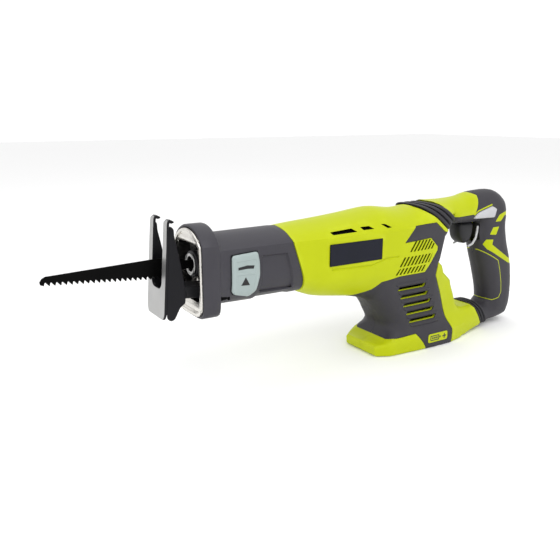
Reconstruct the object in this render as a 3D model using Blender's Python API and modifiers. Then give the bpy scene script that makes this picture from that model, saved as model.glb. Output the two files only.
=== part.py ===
"""Cordless reciprocating saw with a D-handle, tilting shoe and tool-free blade clamp.

World frame: X runs from the blade (-X) to the handle (+X), +Y is the tool's right side and +Z is up.
The origin is on the underside of the battery socket's flange, on the symmetry plane.
Shapes below are written in millimetres. Their X counts from a datum 114 mm ahead of the origin.
"""
import math

import bmesh
import bpy
import numpy as np
from mathutils import Matrix, Vector
from mathutils.geometry import delaunay_2d_cdt

# ---------------------------------------------------------------- driving dimensions (mm)
MM = 0.001
ORIGIN_X = 114.0
GAP = 0.3                      # clearance between neighbouring parts
SPLIT = 0.15                   # half of the gap between the left and right shells
WALL = 4.0                     # clamshell wall, outer surface to inner surface
SKIN = 1.5                     # rubber overmold thickness
GRID = 14.0                    # spacing of the facets on the moulded shells
WELD = 6e-6                    # metres within which loose corners count as one

STROKE = 22.0
STROKE_Z = 116.5               # height of the plunger and blade axis
GEAR_X, GEAR_Z = -15.0, 90.3   # drive gear's vertical axis, and its underside
GEAR_TEETH, PINION_TEETH = 40, 8
GEAR_R = 17.8
TOOTH_WIDTH = 3.1              # radial length of the face gear's teeth
TOOTH_H = 1.7
MOTOR_Z = 101.45
MOTOR_R = 22.5
MOTOR_X = (13.0, 75.0)

BLADE_T = 1.1
TEETH_PER_INCH = 6.0
SHOE_PIVOT = (-163.0, 95.0)
SHOE_HALF_W = 18.2
SHOE_T = 2.2
LEVER_LIFT = (1.2, 3.3)        # inner and outer face of the release lever above the boot
LEVER_AXIS_Z = 127.0

# ---------------------------------------------------------------- side outlines (X, Z)
# Each run of an outline has the radius with which the side rounds over towards it; None is a cut end.
BODY_RUNS = [
    (33.0, [(-62, 141), (-24, 144.4), (0, 146.2), (23, 149.3), (43, 149.8), (62, 147), (80, 146.4),
            (97, 148.8)]),
    (None, [(97, 148.8), (135, 120.2)]),
    (6.0, [(135, 120.2), (130, 116), (123, 88), (127, 80), (143, 67), (149, 54), (158, 40), (172, 32),
           (190, 30)]),
    (None, [(190, 30), (205, 4)]),
    (3.0, [(205, 4), (190, 3.4), (165, 0)]),
    (2.0, [(165, 0), (44.5, 0), (42.5, 2), (42, 14), (44, 19)]),
    (18.0, [(44, 19), (52, 27), (55, 35), (53, 44), (48, 52), (41, 60)]),
    (29.0, [(41, 60), (28, 65), (14, 68.4), (0, 70.2), (-23, 74), (-38, 78.6), (-46, 80.6)]),
    (None, [(-46, 80.6), (-48.5, 94), (-52, 106), (-57, 121), (-60.5, 132), (-62, 141)]),
]
HANDLE_RUNS = [
    (17.5, [(124.6, 151.3), (150, 151.4), (171, 152), (185, 155.6), (208, 157.4), (219, 156), (230, 152),
            (240, 145.6), (246, 137)]),
    (17.0, [(246, 137), (247.2, 126), (247, 116), (251.5, 98), (257.5, 83), (262, 69), (265, 52),
            (266, 36), (265, 20), (261, 10)]),
    (13.0, [(261, 10), (254, 6.4), (240, 4), (217, 4)]),
    (None, [(217, 4), (202.5, 29.6)]),
    (13.0, [(202.5, 29.6), (212, 29), (220, 31), (222, 38)]),
    (16.0, [(222, 38), (218, 50), (212, 68), (204, 90), (201, 100), (199, 124)]),
    (12.0, [(199, 124), (175, 124.4), (160, 125)]),
    (12.0, [(160, 125), (156.9, 127)]),
    (None, [(156.9, 127), (124.6, 151.3)]),
]
# Flat-side half-widths: the barrel, neck, foot and handle along X.
BARREL_W = ([-62, -20, 20, 90, 130], [28.2, 30.6, 31.6, 31.6, 29.0])
NECK_W = ([40, 58, 118, 135, 160, 200], [25, 28.5, 28.5, 25, 22, 19])
FOOT_W = ([42, 58, 103, 141, 171, 206], [23.5, 31.6, 34.5, 34.5, 27, 19.5])
HANDLE_W = ([124, 150, 172, 200, 260], [27, 21.5, 19, 17.4, 17.0])
FOOT_TOP = (15.0, 22.0)        # the foot's side narrows to the neck between these heights
NECK_TOP = (62.0, 92.0)        # and the neck widens to the barrel between these

OVERMOLD = [(12, 60), (15.7, 69), (34, 73), (43, 80), (64, 83), (99, 83), (107, 92), (116, 104),
            (116, 108), (105, 118), (69, 116.5), (83, 132), (112, 133), (126.5, 122), (150, 116),
            (140, 91), (119, 91), (116.6, 77), (127, 57), (141, 22), (142.4, 17), (141.8, 2.8),
            (106.4, 2.8), (99, 9), (91, 18.6), (60, 19), (30, 19), (30, 60)]
GRIP_RUBBER = [(190, 134), (193, 152), (188, 157), (178, 172), (290, 172), (290, -10), (190, -10),
               (190, 60), (150, 120), (140, 131), (160, 132)]
LOCK_BUTTON = [(183, 128.8), (183, 131.2), (188, 135.2), (211, 140.8), (218, 137.4), (215, 129)]
NAME_PLATE = (-22.6, 39.4, 104.1, 124.3)       # X and Z limits of the blank plate
FOOT_BADGE = (105.8, 134.2, 5.4, 15.0)

# Slanted rubber rings: top corner of the front plane, slope down the plane, axial length, and the
# bar that they grip (Z limits, half-width).
UPPER_RING = {"top": (97.6, 149.4), "slope": math.radians(-37.0), "length": 17.3,
              "z": (120.0, 150.2), "lift": 9.0, "w": 28.2, "ribs": 3}
LOWER_RING = {"top": (190.4, 30.0), "slope": math.radians(-61.0), "length": 10.0,
              "z": (4.0, 30.2), "lift": 0.0, "w": 19.0, "ribs": 2}

COLLAR_X = (-148.5, -132.5)
BOOT_SECTION = {"top": 141.4, "crease": 129.0, "w_crease": 26.6, "w": 27.6, "mid": 106.0, "low": 78.0,
                "n": 2.3}
COLLAR_SECTION = {"top": 150.5, "crease": 136.0, "w_crease": 28.2, "w": 28.6, "mid": 95.0,
                  "low": 70.8, "n": 5.0}

# Screws along Y: X, Z, and half the width of the shell there.
HOUSING_SCREWS = [(-30, 137.6, 15), (60, 139, 20), (4, 76.5, 19.4), (134, 60, 24.5), (158, 17, 27.5)]
HANDLE_SCREWS = [(231, 134, 15.4), (240, 22, 15.8)]
SCREW_R, HEAD_R, BOSS_R = 1.6, 3.2, 4.0

# ---------------------------------------------------------------- scene and materials
PARTS = None
CUTTERS = None
COLOURS = {
    "lime": ((0.55, 0.68, 0.01), 0.42, 0.0),
    "rubber": ((0.06, 0.055, 0.065), 0.7, 0.0),
    "black_plastic": ((0.02, 0.02, 0.022), 0.5, 0.0),
    "grey_plastic": ((0.40, 0.46, 0.47), 0.45, 0.0),
    "white_plastic": ((0.62, 0.62, 0.64), 0.5, 0.0),
    "steel": ((0.55, 0.55, 0.53), 0.32, 1.0),
    "dark_steel": ((0.05, 0.05, 0.055), 0.4, 0.8),
    "cast_alloy": ((0.72, 0.70, 0.66), 0.35, 1.0),
    "bronze": ((0.55, 0.34, 0.14), 0.4, 1.0),
    "copper": ((0.70, 0.30, 0.14), 0.35, 1.0),
    "cable_red": ((0.45, 0.02, 0.02), 0.5, 0.0),
    "blade_black": ((0.012, 0.012, 0.013), 0.45, 0.3),
}


def clear_scene():
    for obj in list(bpy.data.objects):
        bpy.data.objects.remove(obj, do_unlink=True)


def collection(name):
    made = bpy.data.collections.new(name)
    bpy.context.scene.collection.children.link(made)
    return made


def paint(obj, colour):
    rgb, roughness, metallic = COLOURS[colour]
    mat = bpy.data.materials.new(obj.name)
    mat.use_nodes = True
    shader = mat.node_tree.nodes["Principled BSDF"]
    shader.inputs["Base Color"].default_value = (*rgb, 1.0)
    shader.inputs["Roughness"].default_value = roughness
    shader.inputs["Metallic"].default_value = metallic
    obj.data.materials.clear()
    obj.data.materials.append(mat)


def place(x, y, z):
    """A point in millimetres, from the datum, as a world position in metres."""
    return Vector(((x - ORIGIN_X) * MM, y * MM, z * MM))


def add_mesh(name, mesh, colour=None):
    obj = bpy.data.objects.new(name, mesh)
    if colour is None:
        CUTTERS.objects.link(obj)
        obj.hide_render = True
        obj.display_type = "WIRE"
    else:
        PARTS.objects.link(obj)
        paint(obj, colour)
    return obj


def from_bmesh(name, bm, colour=None):
    bmesh.ops.recalc_face_normals(bm, faces=bm.faces)
    mesh = bpy.data.meshes.new(name)
    bm.to_mesh(mesh)
    bm.free()
    return add_mesh(name, mesh, colour)


def baked(obj):
    """Apply every modifier on an object."""
    graph = bpy.context.evaluated_depsgraph_get()
    mesh = bpy.data.meshes.new_from_object(obj.evaluated_get(graph))
    obj.modifiers.clear()
    obj.data = mesh
    return obj


def tidied(obj):
    """Weld what a Boolean leaves a hair apart, and drop faces with no area."""
    bm = bmesh.new()
    bm.from_mesh(obj.data)
    bmesh.ops.remove_doubles(bm, verts=bm.verts, dist=WELD)
    bmesh.ops.dissolve_degenerate(bm, edges=bm.edges, dist=WELD)
    bm.to_mesh(obj.data)
    bm.free()
    return obj


def combine(obj, other, how, crossing=False):
    """Boolean: how is DIFFERENCE, UNION or INTERSECT. The second object is used up."""
    mod = obj.modifiers.new(how.lower(), "BOOLEAN")
    mod.operation = how
    mod.object = other
    mod.solver = "EXACT"
    mod.use_self = crossing
    tidied(baked(obj))
    bpy.data.objects.remove(other, do_unlink=True)
    return obj


def cut(obj, *cutters):
    for cutter in cutters:
        combine(obj, cutter, "DIFFERENCE")
    return obj


def drop_slivers(obj):
    """Keep an object's largest body, without the loose chips that a cut can leave."""
    bm = bmesh.new()
    bm.from_mesh(obj.data)
    left = set(bm.verts)
    groups = []
    while left:
        stack = [left.pop()]
        group = set(stack)
        while stack:
            vert = stack.pop()
            near = {edge.other_vert(vert) for edge in vert.link_edges} & left
            left -= near
            group |= near
            stack += near
        groups.append(group)
    groups.sort(key=len)
    for group in groups[:-1]:
        bmesh.ops.delete(bm, geom=list(group), context="VERTS")
    bm.to_mesh(obj.data)
    bm.free()
    return obj


def join(obj, *others):
    for other in others:
        combine(obj, other, "UNION")
    return obj


def pivot(obj, x, y, z):
    """Move an object's origin to a point on its joint's axis, leaving its shape where it is."""
    point = place(x, y, z)
    obj.data.transform(Matrix.Translation(-point))
    obj.location = point
    return obj


def bevel(obj, width, segments=1, angle=40.0):
    mod = obj.modifiers.new("edge", "BEVEL")
    mod.width = width * MM
    mod.segments = segments
    mod.limit_method = "ANGLE"
    mod.angle_limit = math.radians(angle)
    return baked(obj)


def smooth(obj, angle=35.0):
    obj.data.shade_smooth()
    obj.data.set_sharp_from_angle(angle=math.radians(angle))
    return obj


# ---------------------------------------------------------------- simple solids
def box(name, low, high, colour=None):
    bm = bmesh.new()
    bmesh.ops.create_cube(bm, size=1.0)
    a, b = place(*low), place(*high)
    bmesh.ops.scale(bm, vec=b - a, verts=bm.verts)
    bmesh.ops.translate(bm, vec=(a + b) / 2, verts=bm.verts)
    return from_bmesh(name, bm, colour)


def cylinder(name, start, end, radius, colour=None, segments=20, radius_end=None):
    bm = bmesh.new()
    a, b = place(*start), place(*end)
    top = radius if radius_end is None else radius_end
    bmesh.ops.create_cone(bm, cap_ends=True, segments=segments, radius1=radius * MM, radius2=top * MM,
                          depth=(b - a).length)
    turn = (b - a).to_track_quat("Z", "Y").to_matrix().to_4x4()
    bmesh.ops.transform(bm, matrix=Matrix.Translation((a + b) / 2) @ turn, verts=bm.verts)
    return from_bmesh(name, bm, colour)


def tube(name, start, end, r_out, r_in, colour, segments=20):
    outer = cylinder(name, start, end, r_out, colour, segments)
    a, b = Vector(start), Vector(end)
    step = (b - a).normalized()
    return cut(outer, cylinder("bore", a - step, b + step, r_in, None, segments))


def prism(name, outline, y_low, y_high, colour=None):
    """A flat (X, Z) outline extruded along Y."""
    curve = bpy.data.curves.new(name, "CURVE")
    curve.dimensions = "2D"
    curve.fill_mode = "BOTH"
    curve.extrude = (y_high - y_low) / 2 * MM
    spline = curve.splines.new("POLY")
    spline.points.add(len(outline) - 1)
    for point, (x, z) in zip(spline.points, outline):
        point.co = ((x - ORIGIN_X) * MM, z * MM, 0.0, 1.0)
    spline.use_cyclic_u = True
    guide = bpy.data.objects.new(name + "_outline", curve)
    CUTTERS.objects.link(guide)
    mesh = bpy.data.meshes.new_from_object(guide.evaluated_get(bpy.context.evaluated_depsgraph_get()))
    bpy.data.objects.remove(guide, do_unlink=True)
    bm = bmesh.new()
    bm.from_mesh(mesh)
    bmesh.ops.remove_doubles(bm, verts=bm.verts, dist=1e-6)
    stand = Matrix.Rotation(math.radians(90), 4, "X")
    shift = Matrix.Translation((0, (y_low + y_high) / 2 * MM, 0))
    bmesh.ops.transform(bm, matrix=shift @ stand, verts=bm.verts)
    return from_bmesh(name, bm, colour)


def loft(name, rings, colour=None):
    """A closed solid through rings of equal length, with flat ends."""
    bm = bmesh.new()
    made = [[bm.verts.new(place(*p)) for p in ring] for ring in rings]
    count = len(rings[0])
    for near, far in zip(made, made[1:]):
        for i in range(count):
            j = (i + 1) % count
            bm.faces.new((near[i], near[j], far[j], far[i]))
    bm.faces.new(made[0])
    bm.faces.new(made[-1])
    return from_bmesh(name, bm, colour)


def lead(name, points, radius, colour):
    """An insulated wire through a list of points."""
    curve = bpy.data.curves.new(name, "CURVE")
    curve.dimensions = "3D"
    curve.bevel_depth = radius * MM
    curve.bevel_resolution = 2
    curve.use_fill_caps = True
    spline = curve.splines.new("POLY")
    spline.points.add(len(points) - 1)
    for point, place_mm in zip(spline.points, points):
        point.co = (*place(*place_mm), 1.0)
    obj = bpy.data.objects.new(name, curve)
    PARTS.objects.link(obj)
    paint(obj, colour)
    return obj


def bend(points, per_leg=3):
    """A smooth Catmull-Rom run through the points."""
    ends = [np.array(points[0]) * 2 - points[1], *map(np.array, points),
            np.array(points[-1]) * 2 - points[-2]]
    run = []
    for p0, p1, p2, p3 in zip(ends, ends[1:], ends[2:], ends[3:]):
        for t in np.linspace(0, 1, per_leg, endpoint=False):
            run.append(0.5 * (2 * p1 + (p2 - p0) * t + (2 * p0 - 5 * p1 + 4 * p2 - p3) * t ** 2
                              + (3 * p1 - p0 - 3 * p2 + p3) * t ** 3))
    return [tuple(p) for p in run] + [tuple(points[-1])]


# ---------------------------------------------------------------- moulded shells
def distance(points, run):
    """Distance of each (X, Z) point from an open run of an outline."""
    p = np.asarray(points, float)[:, None, :]
    a = np.asarray(run[:-1], float)[None]
    b = np.asarray(run[1:], float)[None]
    t = np.clip(((p - a) * (b - a)).sum(2) / ((b - a) ** 2).sum(2), 0, 1)[..., None]
    return np.sqrt(((a + t * (b - a) - p) ** 2).sum(2)).min(1)


def body_side(points):
    """Half-width of the body's flat side before its edges are rounded."""
    x, z = np.asarray(points, float).T
    foot = np.interp(x, *FOOT_W)
    neck = np.interp(x, *NECK_W)
    barrel = np.interp(x, *BARREL_W)
    low = np.clip((z - FOOT_TOP[0]) / (FOOT_TOP[1] - FOOT_TOP[0]), 0, 1)
    high = np.clip((z - NECK_TOP[0]) / (NECK_TOP[1] - NECK_TOP[0]), 0, 1)
    neck = foot + (np.minimum(neck, foot) - foot) * low
    return neck + (barrel - neck) * high * high * (3 - 2 * high)


def handle_side(points):
    x, _ = np.asarray(points, float).T
    return np.interp(x, *HANDLE_W)


def half_width(points, runs, side, inset, middle=SPLIT):
    """Half-width of a rounded shell, with its whole surface moved in by inset."""
    outline = [p for _, run in runs for p in run[:-1]]
    on_edge = distance(points, outline + outline[:1]) < 0.02
    sign = np.where(inside(points, outline) | on_edge, 1.0, -1.0)
    width = side(points) - inset
    flat = width.copy()
    for radius, run in runs:
        if radius is None:
            continue
        away = sign * distance(points, run) - inset
        edge = radius - inset
        depth = np.clip(away, 0, edge)
        rounded = flat - edge + np.sqrt(2 * edge * depth - depth ** 2)
        width = np.where(away < -0.01, middle, np.minimum(width, rounded))
    return np.maximum(width, middle)


def offset_outline(runs, inset, cut_move=0.0):
    """The closed outline, with rounded runs moved in by inset and cut runs by cut_move."""
    points, moves = [], []
    for radius, run in runs:
        points += run[:-1]
        moves += [cut_move if radius is None else inset] * (len(run) - 1)
    made = []
    count = len(points)
    for i in range(count):
        here = np.array(points[i], float)
        before = here - points[i - 1]
        after = np.array(points[(i + 1) % count], float) - here
        normals = [np.array((e[1], -e[0])) / np.hypot(*e) for e in (before, after)]
        system = np.array(normals)
        if abs(np.linalg.det(system)) < 0.08:
            made.append(here + normals[0] * (moves[i - 1] + moves[i]) / 2)
            continue
        made.append(here + np.linalg.solve(system, [moves[i - 1], moves[i]]))
    return [tuple(p) for p in made]


def inside(points, outline):
    """Which points lie in a closed outline."""
    x, z = np.asarray(points, float).T
    hit = np.zeros(len(x), bool)
    for (x0, z0), (x1, z1) in zip(outline, outline[1:] + outline[:1]):
        crossing = (z0 > z) != (z1 > z)
        if z0 != z1:
            hit ^= crossing & (x < (x1 - x0) * (z - z0) / (z1 - z0) + x0)
    return hit


def resample(outline, spacing):
    made = []
    for a, b in zip(outline, outline[1:] + outline[:1]):
        steps = max(1, round(math.dist(a, b) / spacing))
        made += [(a[0] + (b[0] - a[0]) * i / steps, a[1] + (b[1] - a[1]) * i / steps)
                 for i in range(steps)]
    return made


def facet_points(runs, inset, outline):
    """Rows of points that follow the rounded edges, and a grid between them."""
    rounded = [(radius, run) for radius, run in runs if radius is not None]
    made = []
    for row, spacing in ((1.2, GRID), (5.6, GRID), (11.0, GRID)):
        ring = np.array(resample(offset_outline(runs, inset + row), spacing))
        near = np.min([distance(ring, run) for _, run in rounded], axis=0)
        made += [tuple(p) for p in ring[near > inset + 0.9 * row]]
    low, high = np.min(outline, axis=0), np.max(outline, axis=0)
    columns = np.arange(low[0] + GRID / 2, high[0], GRID)
    rows = np.arange(low[1] + GRID / 2, high[1], GRID)
    mesh = np.array([(x, z) for x in columns for z in rows])
    near = np.min([distance(mesh, run) for _, run in rounded], axis=0)
    made += [tuple(p) for p in mesh[near > inset + 11.0 + GRID / 2]]
    made = np.array(made)
    return made[inside(made, outline)]


def half_shell(name, colour, runs, side, hand, insets, keep=None, middle=SPLIT):
    """One half of a moulded shell between two insets, as a closed solid.

    keep is a closed (X, Z) outline that the shell is limited to. hand is -1 for the tool's left.
    middle is how far from the symmetry plane the shell's rim lies.
    """
    outline = resample(offset_outline(runs, insets[0]), GRID)
    for_rim = [offset_outline(runs, insets[1] + step, -2.0) for step in (-0.1, 0.1)]
    loops = [outline, *[resample(loop, GRID) for loop in for_rim]]
    if keep is not None:
        loops.append(resample(keep, GRID))
    coords = [p for loop in loops for p in loop]
    edges = []
    first = 0
    for loop in loops:
        edges += [(first + i, first + (i + 1) % len(loop)) for i in range(len(loop))]
        first += len(loop)
    free = facet_points(runs, insets[0], outline)
    clear = np.min([distance(free, loop + loop[:1]) for loop in loops[1:]], axis=0)
    coords += [tuple(p) for p in free[clear > 1.5]]
    flat, _, faces, *_ = delaunay_2d_cdt([Vector(p) for p in coords], edges, [], 0, 1e-5)
    flat = np.array([tuple(p) for p in flat])
    centres = np.array([flat[list(face)].mean(0) for face in faces])
    chosen = inside(centres, outline)
    if keep is not None:
        chosen &= inside(centres, keep)
    faces = [face for face, ok in zip(faces, chosen) if ok]
    outer = half_width(flat, runs, side, insets[0], middle)
    inner = np.minimum(half_width(flat, runs, side, insets[1], middle), outer)
    return stitch(name, colour, flat, faces, outer, inner, hand)


def stitch(name, colour, flat, faces, outer, inner, hand):
    """Close the outer and inner surfaces over the same facets into one solid."""
    bm = bmesh.new()
    used = sorted({i for face in faces for i in face})
    top = {i: bm.verts.new(place(flat[i][0], hand * outer[i], flat[i][1])) for i in used}
    low = {}
    for i in used:
        merged = outer[i] - inner[i] < 1e-6
        low[i] = top[i] if merged else bm.verts.new(place(flat[i][0], hand * inner[i], flat[i][1]))
    border = {}
    for a, b, c in faces:
        if all(low[i] is top[i] for i in (a, b, c)):
            continue
        bm.faces.new((top[a], top[b], top[c]))
        bm.faces.new((low[c], low[b], low[a]))
        for edge in ((a, b), (b, c), (c, a)):
            if edge[::-1] in border:
                del border[edge[::-1]]
            else:
                border[edge] = True
    for a, b in border:
        corners = list(dict.fromkeys((top[b], top[a], low[a], low[b])))
        if len(corners) > 2:
            bm.faces.new(corners)
    return smooth(from_bmesh(name, bm, colour))


def moulded_pair(name, colour, runs, side, skin_name, skin_outline):
    """Left and right shells with a pocket, and the rubber skins that fill the pockets."""
    shells, skins = [], []
    for hand, word in ((-1, "left"), (1, "right")):
        shell = half_shell(f"{name}_{word}", colour, runs, side, hand, (0.0, WALL))
        skin = half_shell(f"{skin_name}_{word}", "rubber", runs, side, hand, (0.0, SKIN), skin_outline)
        shells.append(combine(shell, swollen(skin, hand), "DIFFERENCE", crossing=True))
        skins.append(skin)
    return shells, skins


def swollen(skin, hand, swell=0.36, outward=1.4):
    """A cutter a little larger than a skin all round, and standing well proud of its outer face."""
    bm = bmesh.new()
    bm.from_mesh(skin.data)
    bm.normal_update()
    moves = []
    for vert in bm.verts:
        factor = min(vert.calc_shell_factor(), 1.8)
        moves.append(vert.normal * swell * factor * MM)
        if vert.normal.y * hand > 0.15:
            moves[-1].y += hand * outward * MM
    for vert, move in zip(bm.verts, moves):
        vert.co += move
    return from_bmesh("pocket", bm)


def slanted_ring(name, ring):
    """A ribbed rubber sleeve round a level bar, with both of its ends cut on the slant."""
    outer = []
    steps = 2 * ring["ribs"]
    for i in range(steps + 1):
        along = GAP + (ring["length"] - GAP) * i / steps
        crest = 1.6 * (0.5 - 0.5 * math.cos(2 * math.pi * ring["ribs"] * i / steps))
        outer.append(ring_cut(ring, along, crest - 0.4))
    inner = [ring_cut(ring, along, -3.5) for along in (GAP - 1.0, ring["length"] + 1.0)]
    return smooth(cut(loft(name, outer, "rubber"), loft("bore", inner)), 25)


def ring_cut(ring, along, rise):
    """The sleeve's outline at a distance along its axis; lift is how far its lower end has risen."""
    down = Vector((math.cos(ring["slope"]), math.sin(ring["slope"])))
    low = ring["z"][0] + ring["lift"] * along / ring["length"]
    reach = (ring["z"][1] - low) / 2 / abs(down.y)
    centre = Vector(ring["top"]) + down * reach + Vector((along / abs(down.y), 0))
    return ring_section(centre, down, reach + rise, ring["w"] + rise)


def ring_section(centre, down, reach, width, count=16, power=2.6):
    points = []
    for i in range(count):
        t = 2 * math.pi * (i + 0.5) / count
        along = math.copysign(abs(math.cos(t)) ** (2 / power), math.cos(t)) * reach
        across = math.copysign(abs(math.sin(t)) ** (2 / power), math.sin(t)) * width
        spot = centre + down * along
        points.append((spot.x, across, spot.y))
    return points


def barrel_ring(x, shape, inset, arch=5, belly=5):
    """One (Y, Z) section: an arched top, a crease, flat sides and a rounded bottom."""
    rise = shape["top"] - shape["crease"]
    radius = (shape["w_crease"] ** 2 + rise ** 2) / (2 * rise)
    half = []
    for i in range(arch + 1):
        y = (shape["w_crease"] - inset) * i / arch
        half.append((y, shape["top"] - radius + math.sqrt((radius - inset) ** 2 - y * y)))
    drop = shape["mid"] - shape["low"] - inset
    for i in range(belly + 1):
        t = math.pi / 2 * i / belly
        y = (shape["w"] - inset) * math.cos(t) ** (2 / shape["n"])
        half.append((y, shape["mid"] - drop * math.sin(t) ** (2 / shape["n"])))
    left = [(x, -y, z) for y, z in half if y > 0.01]
    right = [(x, y, z) for y, z in half]
    return right + left[::-1]


def barrel_loft(name, spans, colour=None):
    return loft(name, [barrel_ring(x, shape, inset) for x, shape, inset in spans], colour)


# ---------------------------------------------------------------- housings and covers
def build_housings():
    shells, skins = moulded_pair("housing", "lime", BODY_RUNS, body_side, "overmold", OVERMOLD)
    for shell in shells + skins:
        cut(shell, box("flange_seat", (61.5, -20.4, -2), (118.4, 20.4, 3.3)),
            box("socket_space", (64.1, -17.8, 2), (114.4, 17.8, 64)))
    for (x, z, half), n in zip(HOUSING_SCREWS, range(1, 9)):
        screw_post(shells, f"housing_screw_{n}", x, z, half)
    handles, grips = moulded_pair("handle", "lime", HANDLE_RUNS, handle_side, "grip", GRIP_RUBBER)
    for shell in handles + grips:
        cut(shell, box("trigger_slot", (165, -10.4, 99.4), (206.5, 10.4, 123.9)))
    for (x, z, half), n in zip(HANDLE_SCREWS, range(1, 9)):
        screw_post(handles, f"handle_screw_{n}", x, z, half, grips)
    hole = offset_outline([(1.0, LOCK_BUTTON + LOCK_BUTTON[:1])], -GAP)
    for shell in handles + grips:
        cut(shell, prism("button_hole", hole, -30, 30))
    for shell in skins:
        cut_vents(shell)
    for shell in shells + skins + handles + grips:
        drop_slivers(shell)
    slanted_ring("upper_isolator", UPPER_RING)
    slanted_ring("lower_isolator", LOWER_RING)
    build_badges(shells, skins)


def screw_post(shells, name, x, z, half, skins=()):
    """Bosses in both shells, and one screw driven from the right."""
    for shell, hand in zip(shells, (-1, 1)):
        join(shell, cylinder("boss", (x, hand * SPLIT, z), (x, hand * (half - 2.8), z), BOSS_R, None, 8))
    left, right = shells
    cut(left, cylinder("pilot", (x, -half + 5, z), (x, 1, z), SCREW_R + GAP, None, 10))
    cut(right, cylinder("shank_hole", (x, -1, z), (x, 45, z), SCREW_R + GAP, None, 10))
    for shell in skins[1:]:
        cut(shell, cylinder("shank_hole", (x, 5, z), (x, 45, z), SCREW_R + GAP, None, 10))
    for shell in (right, *skins[1:]):
        cut(shell, cylinder("head_hole", (x, half - 3.4, z), (x, 45, z), HEAD_R + GAP, None, 10))
    shank = cylinder(name, (x, -half + 5.6, z), (x, half - 2.4, z), SCREW_R, "dark_steel", 8)
    join(shank, cylinder("head", (x, half - 3.0, z), (x, half - 0.6, z), HEAD_R, None, 10))


def cut_vents(shell):
    """Five stacked air slots through the rubber on the neck."""
    for row in range(5):
        z = 68.3 - 8.6 * row
        x = 66.0 + 4.4 * row
        cut(shell, prism("slot", [(x, z - 1.4), (x + 2.6, z + 1.4), (x + 40, z + 1.4),
                                  (x + 37.4, z - 1.4)][::-1], -60, 60))


def build_badges(shells, skins):
    """Blank name plates on the barrel, and blank badges on the foot."""
    x0, x1, z0, z1 = NAME_PLATE
    bx0, bx1, bz0, bz1 = FOOT_BADGE
    for shell, skin, hand, word in zip(shells, skins, (-1, 1), ("left", "right")):
        seat = sorted((hand * 30.2, hand * 40.0))
        cut(shell, box("seat", (x0 - GAP, seat[0], z0 - GAP), (x1 + GAP, seat[1], z1 + GAP)))
        plate = sorted((hand * 30.5, hand * 31.9))
        bevel(box(f"name_plate_{word}", (x0, plate[0], z0), (x1, plate[1], z1), "black_plastic"), 0.4)
        seat = sorted((hand * 33.8, hand * 40.0))
        cut(skin, box("seat", (bx0 - GAP, seat[0], bz0 - GAP), (bx1 + GAP, seat[1], bz1 + GAP)))
        badge = sorted((hand * 34.1, hand * 34.9))
        bevel(box(f"foot_badge_{word}", (bx0, badge[0], bz0), (bx1, badge[1], bz1), "lime"), 0.2)


def build_boot():
    """The dark cover over the gearbox, its front collar, and the lever's window on the left."""
    front, rear = COLLAR_X
    boot = barrel_loft("nose_boot", [(front, COLLAR_SECTION, 0.8), (front + 0.8, COLLAR_SECTION, 0.0),
                                     (rear, COLLAR_SECTION, 0.0), (rear + 3, BOOT_SECTION, 0.0),
                                     (-40, BOOT_SECTION, 0.0)], "rubber")
    hollow = barrel_loft("hollow", [(front - 1, COLLAR_SECTION, 2.9), (rear - 1, COLLAR_SECTION, 2.9),
                                    (rear + 2, BOOT_SECTION, 2.9), (-39, BOOT_SECTION, 2.9)])
    cut(boot, hollow)
    edge = [run for radius, run in BODY_RUNS if radius is None][-1]
    behind = [(x - GAP, z) for x, z in edge[::-1]]
    cut(boot, prism("rear_trim", [(-64, 170), (20, 170), (20, 40), (-45, 40)]
                    + [(x, z) for x, z in behind[::-1]], -60, 60))
    cut(boot, box("arm_window", (-121, -40, 103), (-110, -12, 126)))
    smooth(boot, 30)


def build_gearbox():
    """Cast nose and gear case in two halves, split on the level of the plunger's axis."""
    case = barrel_loft("gearbox", [(COLLAR_X[0] - 1.5, COLLAR_SECTION, 3.3), (-136, COLLAR_SECTION, 3.3),
                                   (-132, BOOT_SECTION, 3.7), (-74, BOOT_SECTION, 3.7)])
    join(case, cylinder("guide", (-78, 0, STROKE_Z), (-36, 0, STROKE_Z), 14.5, None, 24),
         cylinder("cup", (GEAR_X, 0, 92), (GEAR_X, 0, 112), GEAR_R + 3.0, None, 28),
         cylinder("cup_base", (GEAR_X, 0, 87.2), (GEAR_X, 0, 94), GEAR_R, None, 28, GEAR_R + 3.0),
         box("case", (-38.8, -19.6, 106), (10.6, 19.6, 125.2)),
         box("motor_seat", (4.0, -18.0, 88.2), (12.4, 18.0, 112)))
    front = barrel_loft("front_hollow", [(COLLAR_X[0] - 9, COLLAR_SECTION, 5.6),
                                         (-136, COLLAR_SECTION, 5.6), (-131, BOOT_SECTION, 6.3),
                                         (-90, BOOT_SECTION, 6.3)])
    cut(case, front, cylinder("mid_hollow", (-74, 0, STROKE_Z), (-55, 0, STROKE_Z), 12, None, 24),
        cylinder("gear_hollow", (GEAR_X, 0, 89.8), (GEAR_X, 0, 112), GEAR_R + 0.8, None, 28),
        box("yoke_hollow", (-37.2, -17.4, 109), (8.2, 17.4, 123.6)),
        cylinder("front_seat", (-92, 0, STROKE_Z), (-72, 0, STROKE_Z), 9.4, None, 24),
        cylinder("rear_seat", (-58, 0, STROKE_Z), (-36, 0, STROKE_Z), 9.4, None, 24),
        cylinder("bearing_seat", (2, 0, MOTOR_Z), (13, 0, MOTOR_Z), 8.4, None, 24),
        cylinder("axle_seat", (GEAR_X, 0, 80), (GEAR_X, 0, 91), 4.4, None, 16),
        box("arm_window", (-121, -40, 103), (-110, -12, 126)))
    cover = add_mesh("gearbox_cover", case.data.copy(), "cast_alloy")
    housing = add_mesh("gearbox_housing", case.data.copy(), "cast_alloy")
    bpy.data.objects.remove(case, do_unlink=True)
    cut(cover, box("below", (-200, -60, 40), (60, 60, STROKE_Z + SPLIT)))
    cut(housing, box("above", (-200, -60, STROKE_Z - SPLIT), (60, 60, 200)))
    smooth(cover)
    smooth(housing)


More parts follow.
